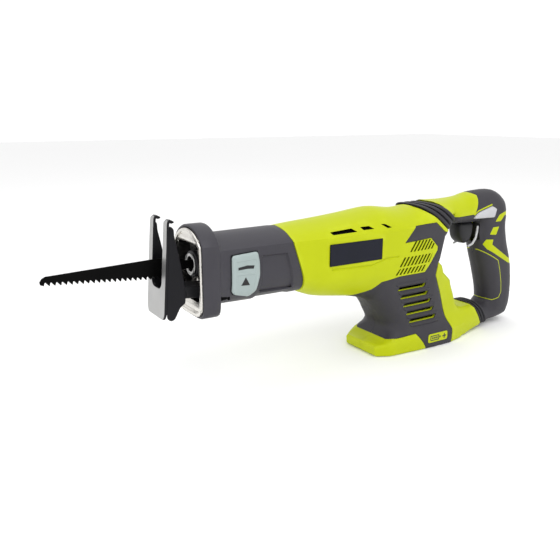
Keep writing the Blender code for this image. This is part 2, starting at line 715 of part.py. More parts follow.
# ---------------------------------------------------------------- drive
def build_drive():
    for name, x0, x1 in (("front_bushing", -88, -75), ("rear_bushing", -54, -40)):
        tube(name, (x0, 0, STROKE_Z), (x1, 0, STROKE_Z), 9.1, 6.8, "bronze", 24)
    cylinder("gear_axle", (GEAR_X, 0, 87.4), (GEAR_X, 0, 96.4), 4.0, "steel", 16)
    gear = tube("drive_gear", (GEAR_X, 0, GEAR_Z), (GEAR_X, 0, GEAR_Z + 7), GEAR_R, 4.3, "steel", 40)
    for i in range(GEAR_TEETH):
        turn = 2 * math.pi * (i + 0.5) / GEAR_TEETH
        tooth = box("tooth", (GEAR_X + GEAR_R - TOOTH_WIDTH, -0.45, GEAR_Z + 6.5),
                    (GEAR_X + GEAR_R - 0.1, 0.45, GEAR_Z + 7 + TOOTH_H))
        axis = place(GEAR_X, 0, 0)
        spin = Matrix.Translation(axis) @ Matrix.Rotation(turn, 4, "Z") @ Matrix.Translation(-axis)
        tooth.data.transform(spin)
        if i == 0:
            teeth = tooth
        else:
            merge_meshes(teeth, tooth)
    join(gear, teeth)
    pivot(gear, GEAR_X, 0, GEAR_Z)
    crank = STROKE / 2
    pin = cylinder("crank_pin", (GEAR_X, crank, GEAR_Z + 7.3), (GEAR_X, crank, 109.9), 3.0, "steel", 16)
    pivot(pin, GEAR_X, 0, GEAR_Z)
    rod = cylinder("plunger", (-124, 0, STROKE_Z), (-20, 0, STROKE_Z), 6.5, "steel", 24)
    yoke = box("yoke", (GEAR_X - 8, -16.4, 110.5), (GEAR_X + 8, 16.4, 122.5))
    cut(yoke, box("slot", (GEAR_X - 3.3, -14.6, 105), (GEAR_X + 3.3, 14.6, 119)))
    join(rod, yoke)
    cut(rod, box("blade_slot", (-130, -0.9, STROKE_Z - 4.4), (-108, 0.9, STROKE_Z + 4.4)))
    smooth(rod)


def merge_meshes(obj, other):
    """Add another object's separate bodies to an object's mesh."""
    bm = bmesh.new()
    bm.from_mesh(obj.data)
    bm.from_mesh(other.data)
    bm.to_mesh(obj.data)
    bm.free()
    bpy.data.objects.remove(other, do_unlink=True)


def star(name, x0, x1, z, r_out, r_in, teeth, duty, colour):
    """A toothed wheel along X, as an outline of equal teeth."""
    points = []
    for i in range(teeth):
        for step, radius in ((-duty, r_in), (-duty * 0.42, r_out), (duty * 0.42, r_out), (duty, r_in)):
            turn = 2 * math.pi * (i + step / 2) / teeth
            points.append((radius * math.cos(turn), z + radius * math.sin(turn)))
    return loft(name, [[(x, y, h) for y, h in points] for x in (x0, x1)], colour)


def build_motor():
    x0, x1 = MOTOR_X
    tube("motor_can", (x0, 0, MOTOR_Z), (x1, 0, MOTOR_Z), MOTOR_R, MOTOR_R - 2.2, "steel", 28)
    shaft = cylinder("motor_shaft", (-0.2, 0, MOTOR_Z), (x1 + 9, 0, MOTOR_Z), 1.4, "steel", 12)
    rotor = star("rotor_core", 24, 60, MOTOR_Z, 18.4, 12.0, 7, 0.62, "dark_steel")
    cut(rotor, cylinder("bore", (20, 0, MOTOR_Z), (64, 0, MOTOR_Z), 1.65, None, 12))
    tube("commutator", (62, 0, MOTOR_Z), (73, 0, MOTOR_Z), 7.5, 1.65, "copper", 16)
    fan = star("motor_fan", 14.6, 20, MOTOR_Z, 18.6, 7.0, 11, 0.34, "black_plastic")
    cut(fan, cylinder("bore", (10, 0, MOTOR_Z), (24, 0, MOTOR_Z), 1.65, None, 12))
    pinion = star("motor_pinion", -0.4, 2.8, MOTOR_Z, 3.9, 2.15, PINION_TEETH, 0.5, "steel")
    cut(pinion, cylinder("bore", (-2, 0, MOTOR_Z), (6, 0, MOTOR_Z), 1.65, None, 12))
    tube("motor_front_bearing", (5, 0, MOTOR_Z), (11.5, 0, MOTOR_Z), 8.1, 1.65, "steel", 20)
    end = tube("motor_end_cap", (x1 + 0.3, 0, MOTOR_Z), (x1 + 7, 0, MOTOR_Z), MOTOR_R, 6.3,
               "black_plastic", 28)
    cut(end, *[box("vent", (x1 - 1, s * 14 - 3, MOTOR_Z - 6), (x1 + 9, s * 14 + 3, MOTOR_Z + 6))
               for s in (-1, 1)])
    tube("motor_rear_bearing", (x1 + 1, 0, MOTOR_Z), (x1 + 6, 0, MOTOR_Z), 6.0, 1.65, "steel", 20)
    for word, sign in (("upper", 1), ("lower", -1)):
        low, high = sorted((MOTOR_Z + sign * 7.8, MOTOR_Z + sign * 16.5))
        box(f"carbon_brush_{word}", (64, -2.6, low), (71, 2.6, high), "dark_steel")
    for obj in (shaft, rotor, fan, pinion, bpy.data.objects["commutator"]):
        pivot(obj, 0, 0, MOTOR_Z)


# ---------------------------------------------------------------- blade, clamp and shoe
def build_clamp():
    body = tube("clamp_body", (-147, 0, STROKE_Z), (-112, 0, STROKE_Z), 9.0, 6.8, "steel", 24)
    cut(body, box("pin_hole", (-121.5, -12, STROKE_Z - 1.8), (-117.9, -4, STROKE_Z + 1.8)))
    sleeve = tube("clamp_sleeve", (-146, 0, STROKE_Z), (-114, 0, STROKE_Z), 11.6, 9.3, "cast_alloy", 24)
    wing = box("wing", (-118, -18.5, STROKE_Z - 2), (-115, -10, STROKE_Z + 2))
    join(sleeve, wing)
    cut(sleeve, cylinder("clear", (-150, 0, STROKE_Z), (-110, 0, STROKE_Z), 9.3, None, 24))
    pivot(smooth(sleeve), -130, 0, STROKE_Z)
    spring = tube("clamp_spring", (-111.4, 0, STROKE_Z), (-106, 0, STROKE_Z), 9.0, 6.9, "dark_steel", 24)
    smooth(spring)
    box("clamp_pin", (-121.2, -9.0, STROKE_Z - 1.5), (-118.2, -6.9, STROKE_Z + 1.5), "dark_steel")


def blade_outline():
    """Back edge, tip, a row of teeth and the narrow tang."""
    pitch = 25.4 / TEETH_PER_INCH
    tip, heel = Vector((-266.0, 114.2)), Vector((-161.0, 105.9))
    steps = round((heel - tip).length / pitch)
    run = (heel - tip) / steps
    teeth = []
    for i in range(steps):
        point = heel - run * i
        teeth += [tuple(point), tuple(point - run * 0.72 + Vector((0, 2.7)))]
    return [(-111, STROKE_Z - 3.6), (-158, STROKE_Z - 3.6), *teeth, tuple(tip), (-269, 117.0),
            (-265, 121.2), (-182, 124.4), (-160, 124.4), (-152, STROKE_Z + 3.6),
            (-111, STROKE_Z + 3.6)]


def build_blade():
    prism("blade", blade_outline(), -BLADE_T / 2, BLADE_T / 2, "blade_black")


def shoe_front(z, behind=0.0):
    """X of the shoe's front face at a height; it leans back towards its top."""
    return -179.0 + (z - 77.6) * (9.3 / 80.9) + behind


def build_shoe():
    """A forked front plate with side flanges that hang on the pivot pin."""
    foot, top = 77.6, 156.8
    lean = [(shoe_front(z), z) for z in (foot, top)]
    (low_x, _), (top_x, _) = lean
    plate = prism("shoe", [(top_x + 2.0, top + 1.7), (top_x + 6.4, top + 1.7), (top_x + 8.4, top - 0.4),
                           (top_x + 7.6, top - 2.2), (top_x + SHOE_T, top - 3), (low_x + SHOE_T, foot),
                           (low_x + 4, foot - 1.6), (low_x + 1.2, foot - 1.6), (low_x, foot)],
                  -SHOE_HALF_W, SHOE_HALF_W, "steel")
    flange = [(-176.6, foot), (shoe_front(151, SHOE_T * 0.5), 151), (-165, 151), (-164.8, 143), (-160.4, 112),
              (-160.0, 87.5), (-165, 84), (-171, foot - 1)]
    for sign in (-1, 1):
        near, far = sorted((sign * (SHOE_HALF_W - 2.0), sign * (SHOE_HALF_W - 0.1)))
        join(plate, prism("flange", flange, near, far))
    cut(plate, box("slot", (-200, -10.3, 101.2), (-150, 10.3, 200)))
    cut(plate, *[box("corner", (-200, sign * 15.2 - 2.6 * (sign < 0), foot - 3),
                     (-174.4, sign * 15.2 + 2.6 * (sign > 0), foot + 3)) for sign in (-1, 1)])
    for sign in (-1, 1):
        near, far = sorted((sign * (SHOE_HALF_W - 6.6), sign * (SHOE_HALF_W - 1.0)))
        join(plate, cylinder("lug", (SHOE_PIVOT[0], near, SHOE_PIVOT[1]),
                             (SHOE_PIVOT[0], far, SHOE_PIVOT[1]), 5.4, None, 16))
    cut(plate, cylinder("pin_hole", (SHOE_PIVOT[0], -30, SHOE_PIVOT[1]),
                        (SHOE_PIVOT[0], 30, SHOE_PIVOT[1]), 3.0, None, 16))
    pivot(smooth(plate), SHOE_PIVOT[0], 0, SHOE_PIVOT[1])
    x, z = SHOE_PIVOT
    cylinder("shoe_pivot_pin", (x, -SHOE_HALF_W - 0.8, z), (x, SHOE_HALF_W + 0.8, z), 2.6, "steel", 16)
    arm = prism("shoe_bracket", [(x - 4, z - 4), (x - 4, z + 4), (x + 2, z + 5.4), (-132, z + 3),
                                 (-98, z + 0.5), (-98, z - 4), (-140, z - 7)], -10.2, 10.2, "dark_steel")
    bevel(arm, 0.8)
    cut(arm, cylinder("pin_hole", (x, -30, z), (x, 30, z), 3.0, None, 16))


# ---------------------------------------------------------------- controls
def build_lever():
    """A plate that follows the boot's left side, with an arm that reaches in to the clamp sleeve."""
    path = [(-27.0, 125.5), (-27.5, 112), (-27.3, 101), (-25.9, 94), (-23.6, 89.2), (-20.6, 85.4)]
    rings = []
    for i, (y, z) in enumerate(path):
        before, after = Vector(path[max(i - 1, 0)]), Vector(path[min(i + 1, len(path) - 1)])
        along = (after - before).normalized()
        out = Vector((along.y, -along.x))
        low, high = [Vector((y, z)) + out * lift for lift in LEVER_LIFT]
        rim = low + (high - low) * 0.6
        rings.append([(-121.4, *low), (-96.2, *low), (-96.2, *rim), (-97.2, *high), (-120.4, *high),
                      (-121.4, *rim)])
    lever = loft("release_lever", rings, "grey_plastic")
    join(lever, box("arm", (-118, -30, 107.5), (-113.4, -19.5, 111.5)))
    pivot(smooth(lever), -109, 0, LEVER_AXIS_Z)


def build_trigger():
    trigger = prism("trigger", [(173.4, 123.2), (173, 116), (174.6, 107), (178.4, 101.6), (185, 100.0),
                                (197.2, 100.0), (197.2, 123.2)], -9.4, 9.4, "black_plastic")
    bevel(trigger, 1.6, 2)
    join(trigger, cylinder("stem", (195, 0, 112), (203.5, 0, 112), 2.6, None, 12))
    smooth(trigger)
    box("switch_module", (211.0, -8.6, 100), (230, 8.6, 123.5), "black_plastic")
    button = prism("lock_button", LOCK_BUTTON, -19.2, 18.2, "white_plastic")
    bevel(button, 0.8, 1, 60)


def build_socket():
    """The battery's stem socket with its terminals, open on the underside of the foot."""
    socket = box("battery_socket", (64.5, -17.4, 0.6), (114, 17.4, 63.4), "black_plastic")
    join(socket, box("flange", (61.8, -20, 0), (118, 20, 3.0)))
    cut(socket, box("stem_space", (68.4, -13.4, -2), (108, 13.4, 58)))
    for word, y in (("positive", 7.0), ("negative", -7.0)):
        blade = box(f"terminal_{word}", (74, y - 0.8, 42), (98, y + 0.8, 57.7), "copper")
        bevel(blade, 0.3)
    for word, side, colour in (("positive", 1, "cable_red"), ("negative", -1, "black_plastic")):
        route = [(88, 5, 65), (104, 7, 70), (122, 7, 64), (136, 6, 44), (160, 4, 25), (190, 3, 17),
                 (212, 3, 17), (228, 3, 25), (237, 3, 40), (240, 3, 56), (234, 3, 78), (224, 3, 96)]
        lead(f"lead_{word}", bend([(x, side * y, z) for x, y, z in route], 2), 1.1, colour)
    lead("lead_motor", bend([(94, 0, 65), (98, 0, 76), (94, 4, 86), (84.5, 9, 93)]), 1.1, "black_plastic")


def main():
    global PARTS, CUTTERS
    clear_scene()
    PARTS = collection("reciprocating_saw")
    CUTTERS = collection("cutters")
    build_housings()
    build_boot()
    build_gearbox()
    build_drive()
    build_motor()
    build_clamp()
    build_blade()
    build_shoe()
    build_lever()
    build_trigger()
    build_socket()


main()
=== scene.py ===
"""Looks of the cordless reciprocating saw: moulded shells, rubber, metal nose, shoe and blade.

Shapes are written in millimetres, X from a datum 114 mm ahead of the row's origin, Z from the floor,
and Y towards the tool's right side. Height fields over the side view make the moulded shells.
"""
import math

import bmesh
import bpy
import numpy as np
from mathutils import Matrix, Vector
from mathutils.geometry import delaunay_2d_cdt


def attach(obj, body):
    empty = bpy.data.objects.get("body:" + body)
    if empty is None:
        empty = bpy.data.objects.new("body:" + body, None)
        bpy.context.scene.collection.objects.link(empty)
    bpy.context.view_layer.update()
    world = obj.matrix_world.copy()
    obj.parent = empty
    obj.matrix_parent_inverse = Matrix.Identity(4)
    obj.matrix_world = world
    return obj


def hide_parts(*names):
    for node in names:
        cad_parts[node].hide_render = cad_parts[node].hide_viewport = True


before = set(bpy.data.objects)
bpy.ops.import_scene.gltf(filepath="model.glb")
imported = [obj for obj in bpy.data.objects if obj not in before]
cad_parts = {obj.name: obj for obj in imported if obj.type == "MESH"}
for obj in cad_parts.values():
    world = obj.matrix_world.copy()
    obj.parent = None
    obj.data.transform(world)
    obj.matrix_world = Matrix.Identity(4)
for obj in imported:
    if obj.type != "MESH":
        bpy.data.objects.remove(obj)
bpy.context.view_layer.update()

MM = 0.001
ORIGIN_X = 114.0
SPLIT = 0.12                       # half of the seam between the left and right shells
GRID = 4.5                         # spacing of the height field's inner points
ROUND_ROWS = (0.012, 0.05, 0.12, 0.22, 0.36, 0.54, 0.76, 1.0)
STROKE_Z = 116.5
CREASE_Z = 130.5                   # where the arched top meets the flat side

# ---------------------------------------------------------------- side outlines (X, Z)
# Each run: how the side rounds towards it, over what depth, and whether its points are a curve.
BODY_RUNS = [
    ("arch", None, True, [(-62, 141.6), (-50, 142.9), (-12, 145.6), (14.7, 148), (38, 150.6), (51, 150.8),
                          (77, 147.8), (97, 148.8)]),
    ("cut", 0, False, [(97, 148.8), (135, 120.2)]),
    ("round", 6.0, False, [(135, 120.2), (130, 116), (123.5, 90), (128.6, 86), (133.4, 77.4), (141, 71.8),
                           (147.5, 66.8), (149.2, 61.8), (154.4, 51), (159.5, 39.6), (164.4, 33),
                           (176, 30.2), (190, 30)]),
    ("cut", 0, False, [(190, 30), (205, 4)]),
    ("round", 3.0, False, [(205, 4), (190, 3.4), (165, 0)]),
    ("round", 1.6, False, [(165, 0), (44.5, 0), (42.4, 2), (41.6, 9), (43.4, 11)]),
    ("flare", 20.0, True, [(43.4, 11), (50.6, 13), (57.2, 17.4), (61, 24), (60.6, 30), (56.6, 37),
                           (50.6, 47), (41, 57.4)]),
    ("belly", 26.0, True, [(41, 57.4), (26, 62.6), (10, 65.8), (-5, 68.1), (-25, 71.6), (-38, 76),
                           (-46, 79.8)]),
    ("cut", 0, True, [(-46, 79.8), (-48.5, 94), (-52, 106), (-57, 121), (-60.5, 132), (-62, 141.6)]),
]
HANDLE_RUNS = [
    ("round", 17.5, True, [(124.6, 151.3), (146, 151), (171, 152.8), (188, 156.4), (212, 157.9), (226, 156.4),
                           (236, 151.4), (243, 144.8), (246, 137)]),
    ("round", 17.0, True, [(246, 137), (247.2, 126), (247, 116), (251.5, 98), (257.5, 83), (262, 69),
                           (265, 52), (266, 36), (265, 20), (261, 10)]),
    ("round", 13.0, True, [(261, 10), (254, 6.4), (240, 4), (218.6, 3)]),
    ("cut", 0, False, [(218.6, 3), (204.6, 28.2)]),
    ("round", 13.0, True, [(204.6, 28.2), (209, 25.6), (216, 24.8), (221, 25.4), (223.4, 28.4)]),
    ("round", 16.0, True, [(223.4, 28.4), (222, 38), (218.4, 50), (213, 66), (205, 87), (201.6, 99),
                           (199.6, 110), (199, 124)]),
    ("round", 12.0, False, [(199, 124), (175, 124.4), (160, 125), (152.6, 126.6), (149.4, 129),
                            (148.6, 133.2)]),
    ("cut", 0, False, [(148.6, 133.2), (124.6, 151.3)]),
]
BOOT_RUNS = [
    ("arch", None, False, [(-132.4, 141.4), (-62.4, 142.0)]),
    ("cut", 0, True, [(-62.4, 142.0), (-60.9, 132), (-57.4, 121), (-52.4, 106), (-48.9, 94), (-46.5, 80)]),
    ("belly", 28.0, False, [(-46.5, 80), (-58, 80), (-62, 81), (-92, 81.2), (-96, 79.6), (-132.4, 80.2)]),
    ("cut", 0, False, [(-132.4, 80.2), (-132.4, 141.4)]),
]
BELLY_POWER = 2.7
FLARE_Z, FLARE_EDGE = (12.0, 25.0), 2.0      # a flare keeps a tight edge below the first height
BARREL_W = ([-62, -20, 20, 90, 130], [28.2, 30.6, 31.6, 31.6, 29.0])
NECK_W = ([40, 58, 118, 135, 160, 200], [25, 28.5, 28.5, 25, 22, 19])
FOOT_W = ([42, 58, 103, 141, 171, 206], [23.5, 31.6, 34.5, 34.5, 27, 19.5])
HANDLE_W = ([124, 150, 172, 200, 260], [27, 21.5, 19, 17.4, 17.0])
FOOT_TOP = (15.5, 38.0)
NECK_TOP = (62.0, 92.0)

OVERMOLD = [(12, 57), (15.7, 67), (34, 72.6), (43, 80), (64, 83), (99, 83), (107, 92), (116, 104),
            (116, 108), (105, 118), (69, 116.5), (83, 132), (112, 133), (126.5, 122), (150, 116),
            (140, 91), (119, 91), (116.6, 77), (127, 57), (141, 22), (142.4, 17.2), (141.6, -4),
            (106.4, -4), (99, 8), (90, 18.4), (60, 17.4), (47, 14.6), (43, 11.6), (30, 9), (30, 57)]
GRIP = [(183, 133.6), (191.6, 153.6), (184, 158), (174, 172), (300, 172), (300, -10), (190, -10),
        (190, 60), (150, 120), (140, 133.2), (160, 133.2)]
BUTTON = [(183, 128.8), (183, 131.2), (188, 135.2), (211, 140.8), (218, 137.4), (215, 127.8)]
DASHES = [[(218.5, 122.5), (224.5, 130), (232.5, 132.6), (250, 134), (250, 129), (233.5, 128.6),
           (227.5, 122.5)],
          [(211.5, 108.5), (215.5, 116.5), (225.5, 116.5), (221.5, 107.5)],
          [(206, 97.4), (208.4, 103), (217.6, 102.4), (216.4, 96.6), (246, 78.4), (275, 69), (275, 63.5),
           (246, 72.6), (211, 91.6)]]
GRIP_LINE = [(204, 91), (229, 77), (233.6, 65), (237.6, 50), (239, 38), (236, 31.6), (229, 28.8), (208, 33.4)]
REAR_LINE = [(275, 62), (256, 60), (258, 40), (275, 35)]
NAME_PLATE = (-22.6, 39.4, 104.1, 124.3)
TOP_VENTS = [[(-20, 135.0), (4.6, 136.4), (9.8, 133.2), (-17.8, 132.6)],
             [(14.8, 136.8), (25.2, 136.9), (30.2, 134.0), (17.2, 134.0)],
             [(39.6, 137.6), (44.8, 137.2), (52.0, 133.6), (46.4, 133.4)]]
LOUVRES = [[(75, 106.6), (82, 117), (104, 117), (112.6, 110), (110, 105.6)],
           [(62, 92.8), (68, 102), (109, 103), (104, 93)],
           [(57.6, 84.8), (63.4, 91), (101, 91.6), (96, 84.4)]]
SHOE_PIVOT = (-163, 95)
SHOE_T = 2.2
CURL = 2.2                         # radius of the rolled tops of the shoe
SHOE_BRIGHT = 80.5                 # length of the front face that is ground bright
SHOE_WING = [(-176.4, 77.0), (-173.4, 75.0), (-170.2, 76.2), (-165, 85.6), (-160.4, 88.6), (-160, 100),
             (-161.6, 112), (-165, 132), (-167.8, 145), (-168, 151), (-170.9, 153.4), (-171.4, 151.4),
             (-175, 110), (-177, 84)]
# The casting's mouth, from its front inwards: X, half-width, and its Z limits.
MOUTH = ((-148.4, 24.4, 78.0, 141.4), (-149.0, 24.3, 80.0, 139.8), (-148.6, 24.2, 83.0, 137.2),
         (-147.0, 24.1, 85.6, 134.6), (-143.0, 24.0, 86.4, 133.2), (-128.0, 23.2, 87.0, 132.4),
         (-122.0, 22.6, 87.4, 131.8), (-122.0, 24.0, 86.0, 133.2), (-140.0, 25.0, 84.4, 135.0))
BLADE_T = 1.1
TEETH_PER_INCH = 6
TOOTH_H = 2.8
TRIGGER = [(171.4, 124), (170.6, 116), (172.6, 107.6), (176.4, 102.2), (182, 99.2), (189, 101.4),
           (192.8, 107.4), (194, 114), (194, 124)]
TRIGGER_TRIM = [(183, 98.2), (189.6, 100.4), (194.2, 106.4), (195.6, 114), (196, 119), (198.6, 119),
                (198.2, 112), (196.4, 104.4), (191.6, 98.4), (184, 96.2)]
SLOT_ROWS = 5                      # slots in the neck's rubber: pitch down, and step back for each row
SLOT_PITCH, SLOT_STEP = 9.2, 4.5
LOUVRE_PITCH, LOUVRE_WIDTH = 4.9, 2.5
LOUVRE_LEAN = math.tan(math.radians(34.0))
SWAGE = [(-20, 100.6), (27, 99.2), (45, 103.6), (62, 103.8)]
BADGE = (105.8, 134.2, 5.4, 15.0)
BOOT_PANEL = [(-93.4, 122.4), (-66, 121.8), (-61.4, 106), (-57.4, 87), (-93.4, 88)]
LEVER = [(-122.2, 94.6), (-119.6, 91.4), (-105, 87.4), (-98.6, 92.4), (-95.4, 106), (-95.6, 118),
         (-97.6, 126.8), (-122, 125.4)]
LEVER_FRAMES = [[(-118.6, 110.6), (-99.8, 110), (-99.2, 120.6), (-118.6, 120.2)],
                [(-118.6, 95.6), (-101.4, 93.6), (-99.8, 108), (-118.6, 108.6)]]
LEVER_BAR = [(-116.8, 115.2), (-108, 116.2), (-101.2, 115.4), (-102, 112.6), (-108, 113.2), (-116.8, 112.8)]
LEVER_ARROW = [(-114.2, 99.2), (-109.8, 106.2), (-105.6, 98.6)]
HOUSING_SCREWS = [(-30, 137.6, 15), (60, 139, 20), (4, 76.5, 19.4), (134, 60, 24.5), (158, 17, 27.5)]
HANDLE_SCREWS = [(231, 134, 15.4), (240, 22, 15.8)]
UPPER_RING = {"top": (97.6, 149.4), "slope": math.radians(-37.0), "length": 17.3,
              "z": (118.6, 150.2), "lift": 13.4, "w": (28.4, 25.4), "ribs": 3}
LOWER_RING = {"top": (190.4, 30.0), "slope": math.radians(-61.0), "length": 12.2,
              "z": (3.0, 30.2), "lift": 0.0, "w": (19.4, 18.6), "ribs": 3}
COLLAR = {"top": 150.5, "crease": 136.0, "w_crease": 28.0, "w": 28.6, "mid": 95.0, "low": 72.0, "n": 5.0}


def place(x, y, z):
    return Vector(((x - ORIGIN_X) * MM, y * MM, z * MM))


# ---------------------------------------------------------------- plane geometry
def curved(points, step=4.0):
    """A Catmull-Rom curve through the points, without its last point."""
    pts = [np.array(p, float) for p in points]
    ends = [2 * pts[0] - pts[1], *pts, 2 * pts[-1] - pts[-2]]
    run = []
    for a, b, c, d in zip(ends, ends[1:], ends[2:], ends[3:]):
        steps = max(1, round(np.hypot(*(c - b)) / step))
        for t in np.arange(steps) / steps:
            run.append(tuple(0.5 * (2 * b + (c - a) * t + (2 * a - 5 * b + 4 * c - d) * t ** 2
                                    + (3 * b - a - 3 * c + d) * t ** 3)))
    return run


def straight(points, step=4.0):
    run = []
    for a, b in zip(points, points[1:]):
        steps = max(1, round(math.dist(a, b) / step))
        run += [(a[0] + (b[0] - a[0]) * i / steps, a[1] + (b[1] - a[1]) * i / steps)
                for i in range(steps)]
    return run


def fine_runs(runs):
    """Each run as (kind, depth, dense points with both ends)."""
    return [(kind, depth, (curved if bent else straight)(points) + [tuple(points[-1])])
            for kind, depth, bent, points in runs]


def closed(points, step=3.0):
    return straight(list(points) + [points[0]], step)


def area(points):
    return sum(a[0] * b[1] - b[0] * a[1] for a, b in zip(points, points[1:] + points[:1])) / 2


def rounded(points, radius=1.5, cuts=3):
    """A closed outline with each of its corners turned into a short curve."""
    made = []
    count = len(points)
    for i, point in enumerate(points):
        here = Vector(point)
        before, after = Vector(points[i - 1]) - here, Vector(points[(i + 1) % count]) - here
        reach = min(radius, before.length * 0.45, after.length * 0.45)
        a, b = here + before.normalized() * reach, here + after.normalized() * reach
        for k in range(cuts + 1):
            t = k / cuts
            made.append(tuple(a * (1 - t) ** 2 + here * 2 * t * (1 - t) + b * t ** 2))
    return made


def moved_in(points, moves):
    """A closed outline with each of its edges moved inwards; moves is one number or one per edge."""
    turn = 1.0 if area(points) > 0 else -1.0
    count = len(points)
    if np.isscalar(moves):
        moves = [moves] * count
    made = []
    for i in range(count):
        here = np.array(points[i], float)
        edges = (here - points[i - 1], np.array(points[(i + 1) % count], float) - here)
        normals = np.array([(-e[1] * turn, e[0] * turn) / max(np.hypot(*e), 1e-9) for e in edges])
        if abs(np.linalg.det(normals)) < 0.05:
            made.append(tuple(here + normals.mean(0) * (moves[i - 1] + moves[i]) / 2))
        else:
            made.append(tuple(here + np.linalg.solve(normals, [moves[i - 1], moves[i]])))
    return made


def inside(points, outline):
    x, z = np.asarray(points, float).T
    hit = np.zeros(len(x), bool)
    for (x0, z0), (x1, z1) in zip(outline, outline[1:] + outline[:1]):
        if z0 != z1:
            hit ^= ((z0 > z) != (z1 > z)) & (x < (x1 - x0) * (z - z0) / (z1 - z0) + x0)
    return hit


def distance(points, run):
    p = np.asarray(points, float)[:, None, :]
    a, b = np.asarray(run[:-1], float)[None], np.asarray(run[1:], float)[None]
    t = np.clip(((p - a) * (b - a)).sum(2) / np.maximum(((b - a) ** 2).sum(2), 1e-12), 0, 1)[..., None]
    return np.sqrt(((a + t * (b - a) - p) ** 2).sum(2)).min(1)


def clipped(polygon, limits):
    """A polygon cut to a convex outline."""
    turn = 1.0 if area(limits) > 0 else -1.0
    for a, b in zip(limits, limits[1:] + limits[:1]):
        side = [turn * ((b[0] - a[0]) * (p[1] - a[1]) - (b[1] - a[1]) * (p[0] - a[0])) for p in polygon]
        kept = []
        for i, point in enumerate(polygon):
            last, s0, s1 = polygon[i - 1], side[i - 1], side[i]
            if s0 * s1 < 0:
                t = s0 / (s0 - s1)
                kept.append((last[0] + (point[0] - last[0]) * t, last[1] + (point[1] - last[1]) * t))
            if s1 >= 0:
                kept.append(point)
        polygon = kept
        if len(polygon) < 3:
            return []
    return polygon


def stroke(points, width):
    """An open line widened into a closed outline."""
    pts = [Vector(p) for p in points]
    left, right = [], []
    for i, here in enumerate(pts):
        before = (here - pts[i - 1]).normalized() if i else (pts[1] - here).normalized()
        after = (pts[i + 1] - here).normalized() if i + 1 < len(pts) else before
        along = (before + after).normalized()
        across = Vector((-along.y, along.x)) * width / 2 / max(along.dot(after), 0.5)
        left.append(tuple(here + across))
        right.append(tuple(here - across))
    return left + right[::-1]


def ring_outline(x, z, radius, count=20):
    return [(x + radius * math.cos(2 * math.pi * i / count), z + radius * math.sin(2 * math.pi * i / count))
            for i in range(count)]


def rectangle(x0, x1, z0, z1):
    return [(x0, z0), (x1, z0), (x1, z1), (x0, z1)]


# ---------------------------------------------------------------- flat sides
def ease(t):
    t = np.clip(t, 0, 1)
    return t * t * (3 - 2 * t)


def body_side(points):
    x, z = np.asarray(points, float).T
    foot, neck, barrel = np.interp(x, *FOOT_W), np.interp(x, *NECK_W), np.interp(x, *BARREL_W)
    climb = np.clip((z - FOOT_TOP[0]) / (FOOT_TOP[1] - FOOT_TOP[0]), 0, 1)
    low = np.minimum(neck, foot) + (foot - np.minimum(neck, foot)) * (1 - climb) ** 3
    return low + (barrel - low) * ease((z - NECK_TOP[0]) / (NECK_TOP[1] - NECK_TOP[0]))


def handle_side(points):
    return np.interp(np.asarray(points, float)[:, 0], *HANDLE_W)


def boot_side(points):
    return np.full(len(points), 27.3)


def half_width(points, runs, side, inset, middle):
    """Half-width of a moulded shape whose whole surface is moved in by inset."""
    points = np.asarray(points, float)
    outline = [p for _, _, run in runs for p in run[:-1]]
    on_edge = distance(points, outline + outline[:1]) < 0.02
    sign = np.where(inside(points, outline) | on_edge, 1.0, -1.0)
    flat = side(points) - inset
    width = flat.copy()
    for kind, depth, run in runs:
        if kind == "cut":
            continue
        away = sign * distance(points, run) - inset
        if kind in ("round", "flare"):
            reach = depth if kind == "round" else np.interp(points[:, 1], FLARE_Z, (FLARE_EDGE, depth))
            edge = np.maximum(reach - inset, 0.05)
            d = np.clip(away, 0, edge)
            shape = flat - edge + np.sqrt(2 * edge * d - d * d)
        elif kind == "arch":
            top = np.interp(points[:, 0], *np.array(run).T)
            rise = top - CREASE_Z
            radius = (flat ** 2 + rise ** 2) / (2 * rise)
            d = np.clip(away, 0, rise)
            shape = np.where(away >= rise, flat, np.sqrt(2 * radius * d - d * d))
        else:
            edge = depth - inset
            d = np.clip(away / edge, 0, 1)
            shape = flat * (1 - (1 - d) ** BELLY_POWER) ** (1 / BELLY_POWER)
        width = np.where(away < -0.01, middle, np.minimum(width, shape))
    return np.maximum(width, middle)


def field_points(runs, outline, grid):
    """Rows that follow the rounded edges, and a grid between them."""
    owners = []
    for kind, depth, run in runs:
        reach = {"cut": 0.0, "arch": 15.0}.get(kind, depth)
        owners += [reach] * (len(run) - 1)
    rounded_runs = [(15.0 if kind == "arch" else depth, run) for kind, depth, run in runs if kind != "cut"]
    made = []
    for row in ROUND_ROWS:
        made.append(np.array(moved_in(outline, [reach * row for reach in owners])))
    low, high = np.min(outline, axis=0), np.max(outline, axis=0)
    mesh = np.array([(x, z) for x in np.arange(low[0] + grid / 2, high[0], grid)
                     for z in np.arange(low[1] + grid / 2, high[1], grid)])
    clear = np.min([distance(mesh, run) - reach for reach, run in rounded_runs], axis=0)
    made.append(mesh[clear > grid * 0.4])
    made = np.concatenate(made)
    return made[inside(made, outline)]


# ---------------------------------------------------------------- meshes
def new_object(name, mesh, materials):
    obj = bpy.data.objects.new(name, mesh)
    bpy.context.scene.collection.objects.link(obj)
    for mat in materials:
        obj.data.materials.append(mat)
    return obj


def from_bmesh(name, bm, materials, angle=32.0):
    bmesh.ops.recalc_face_normals(bm, faces=bm.faces)
    mesh = bpy.data.meshes.new(name)
    bm.to_mesh(mesh)
    bm.free()
    mesh.shade_smooth()
    mesh.set_sharp_from_angle(angle=math.radians(angle))
    return new_object(name, mesh, materials)


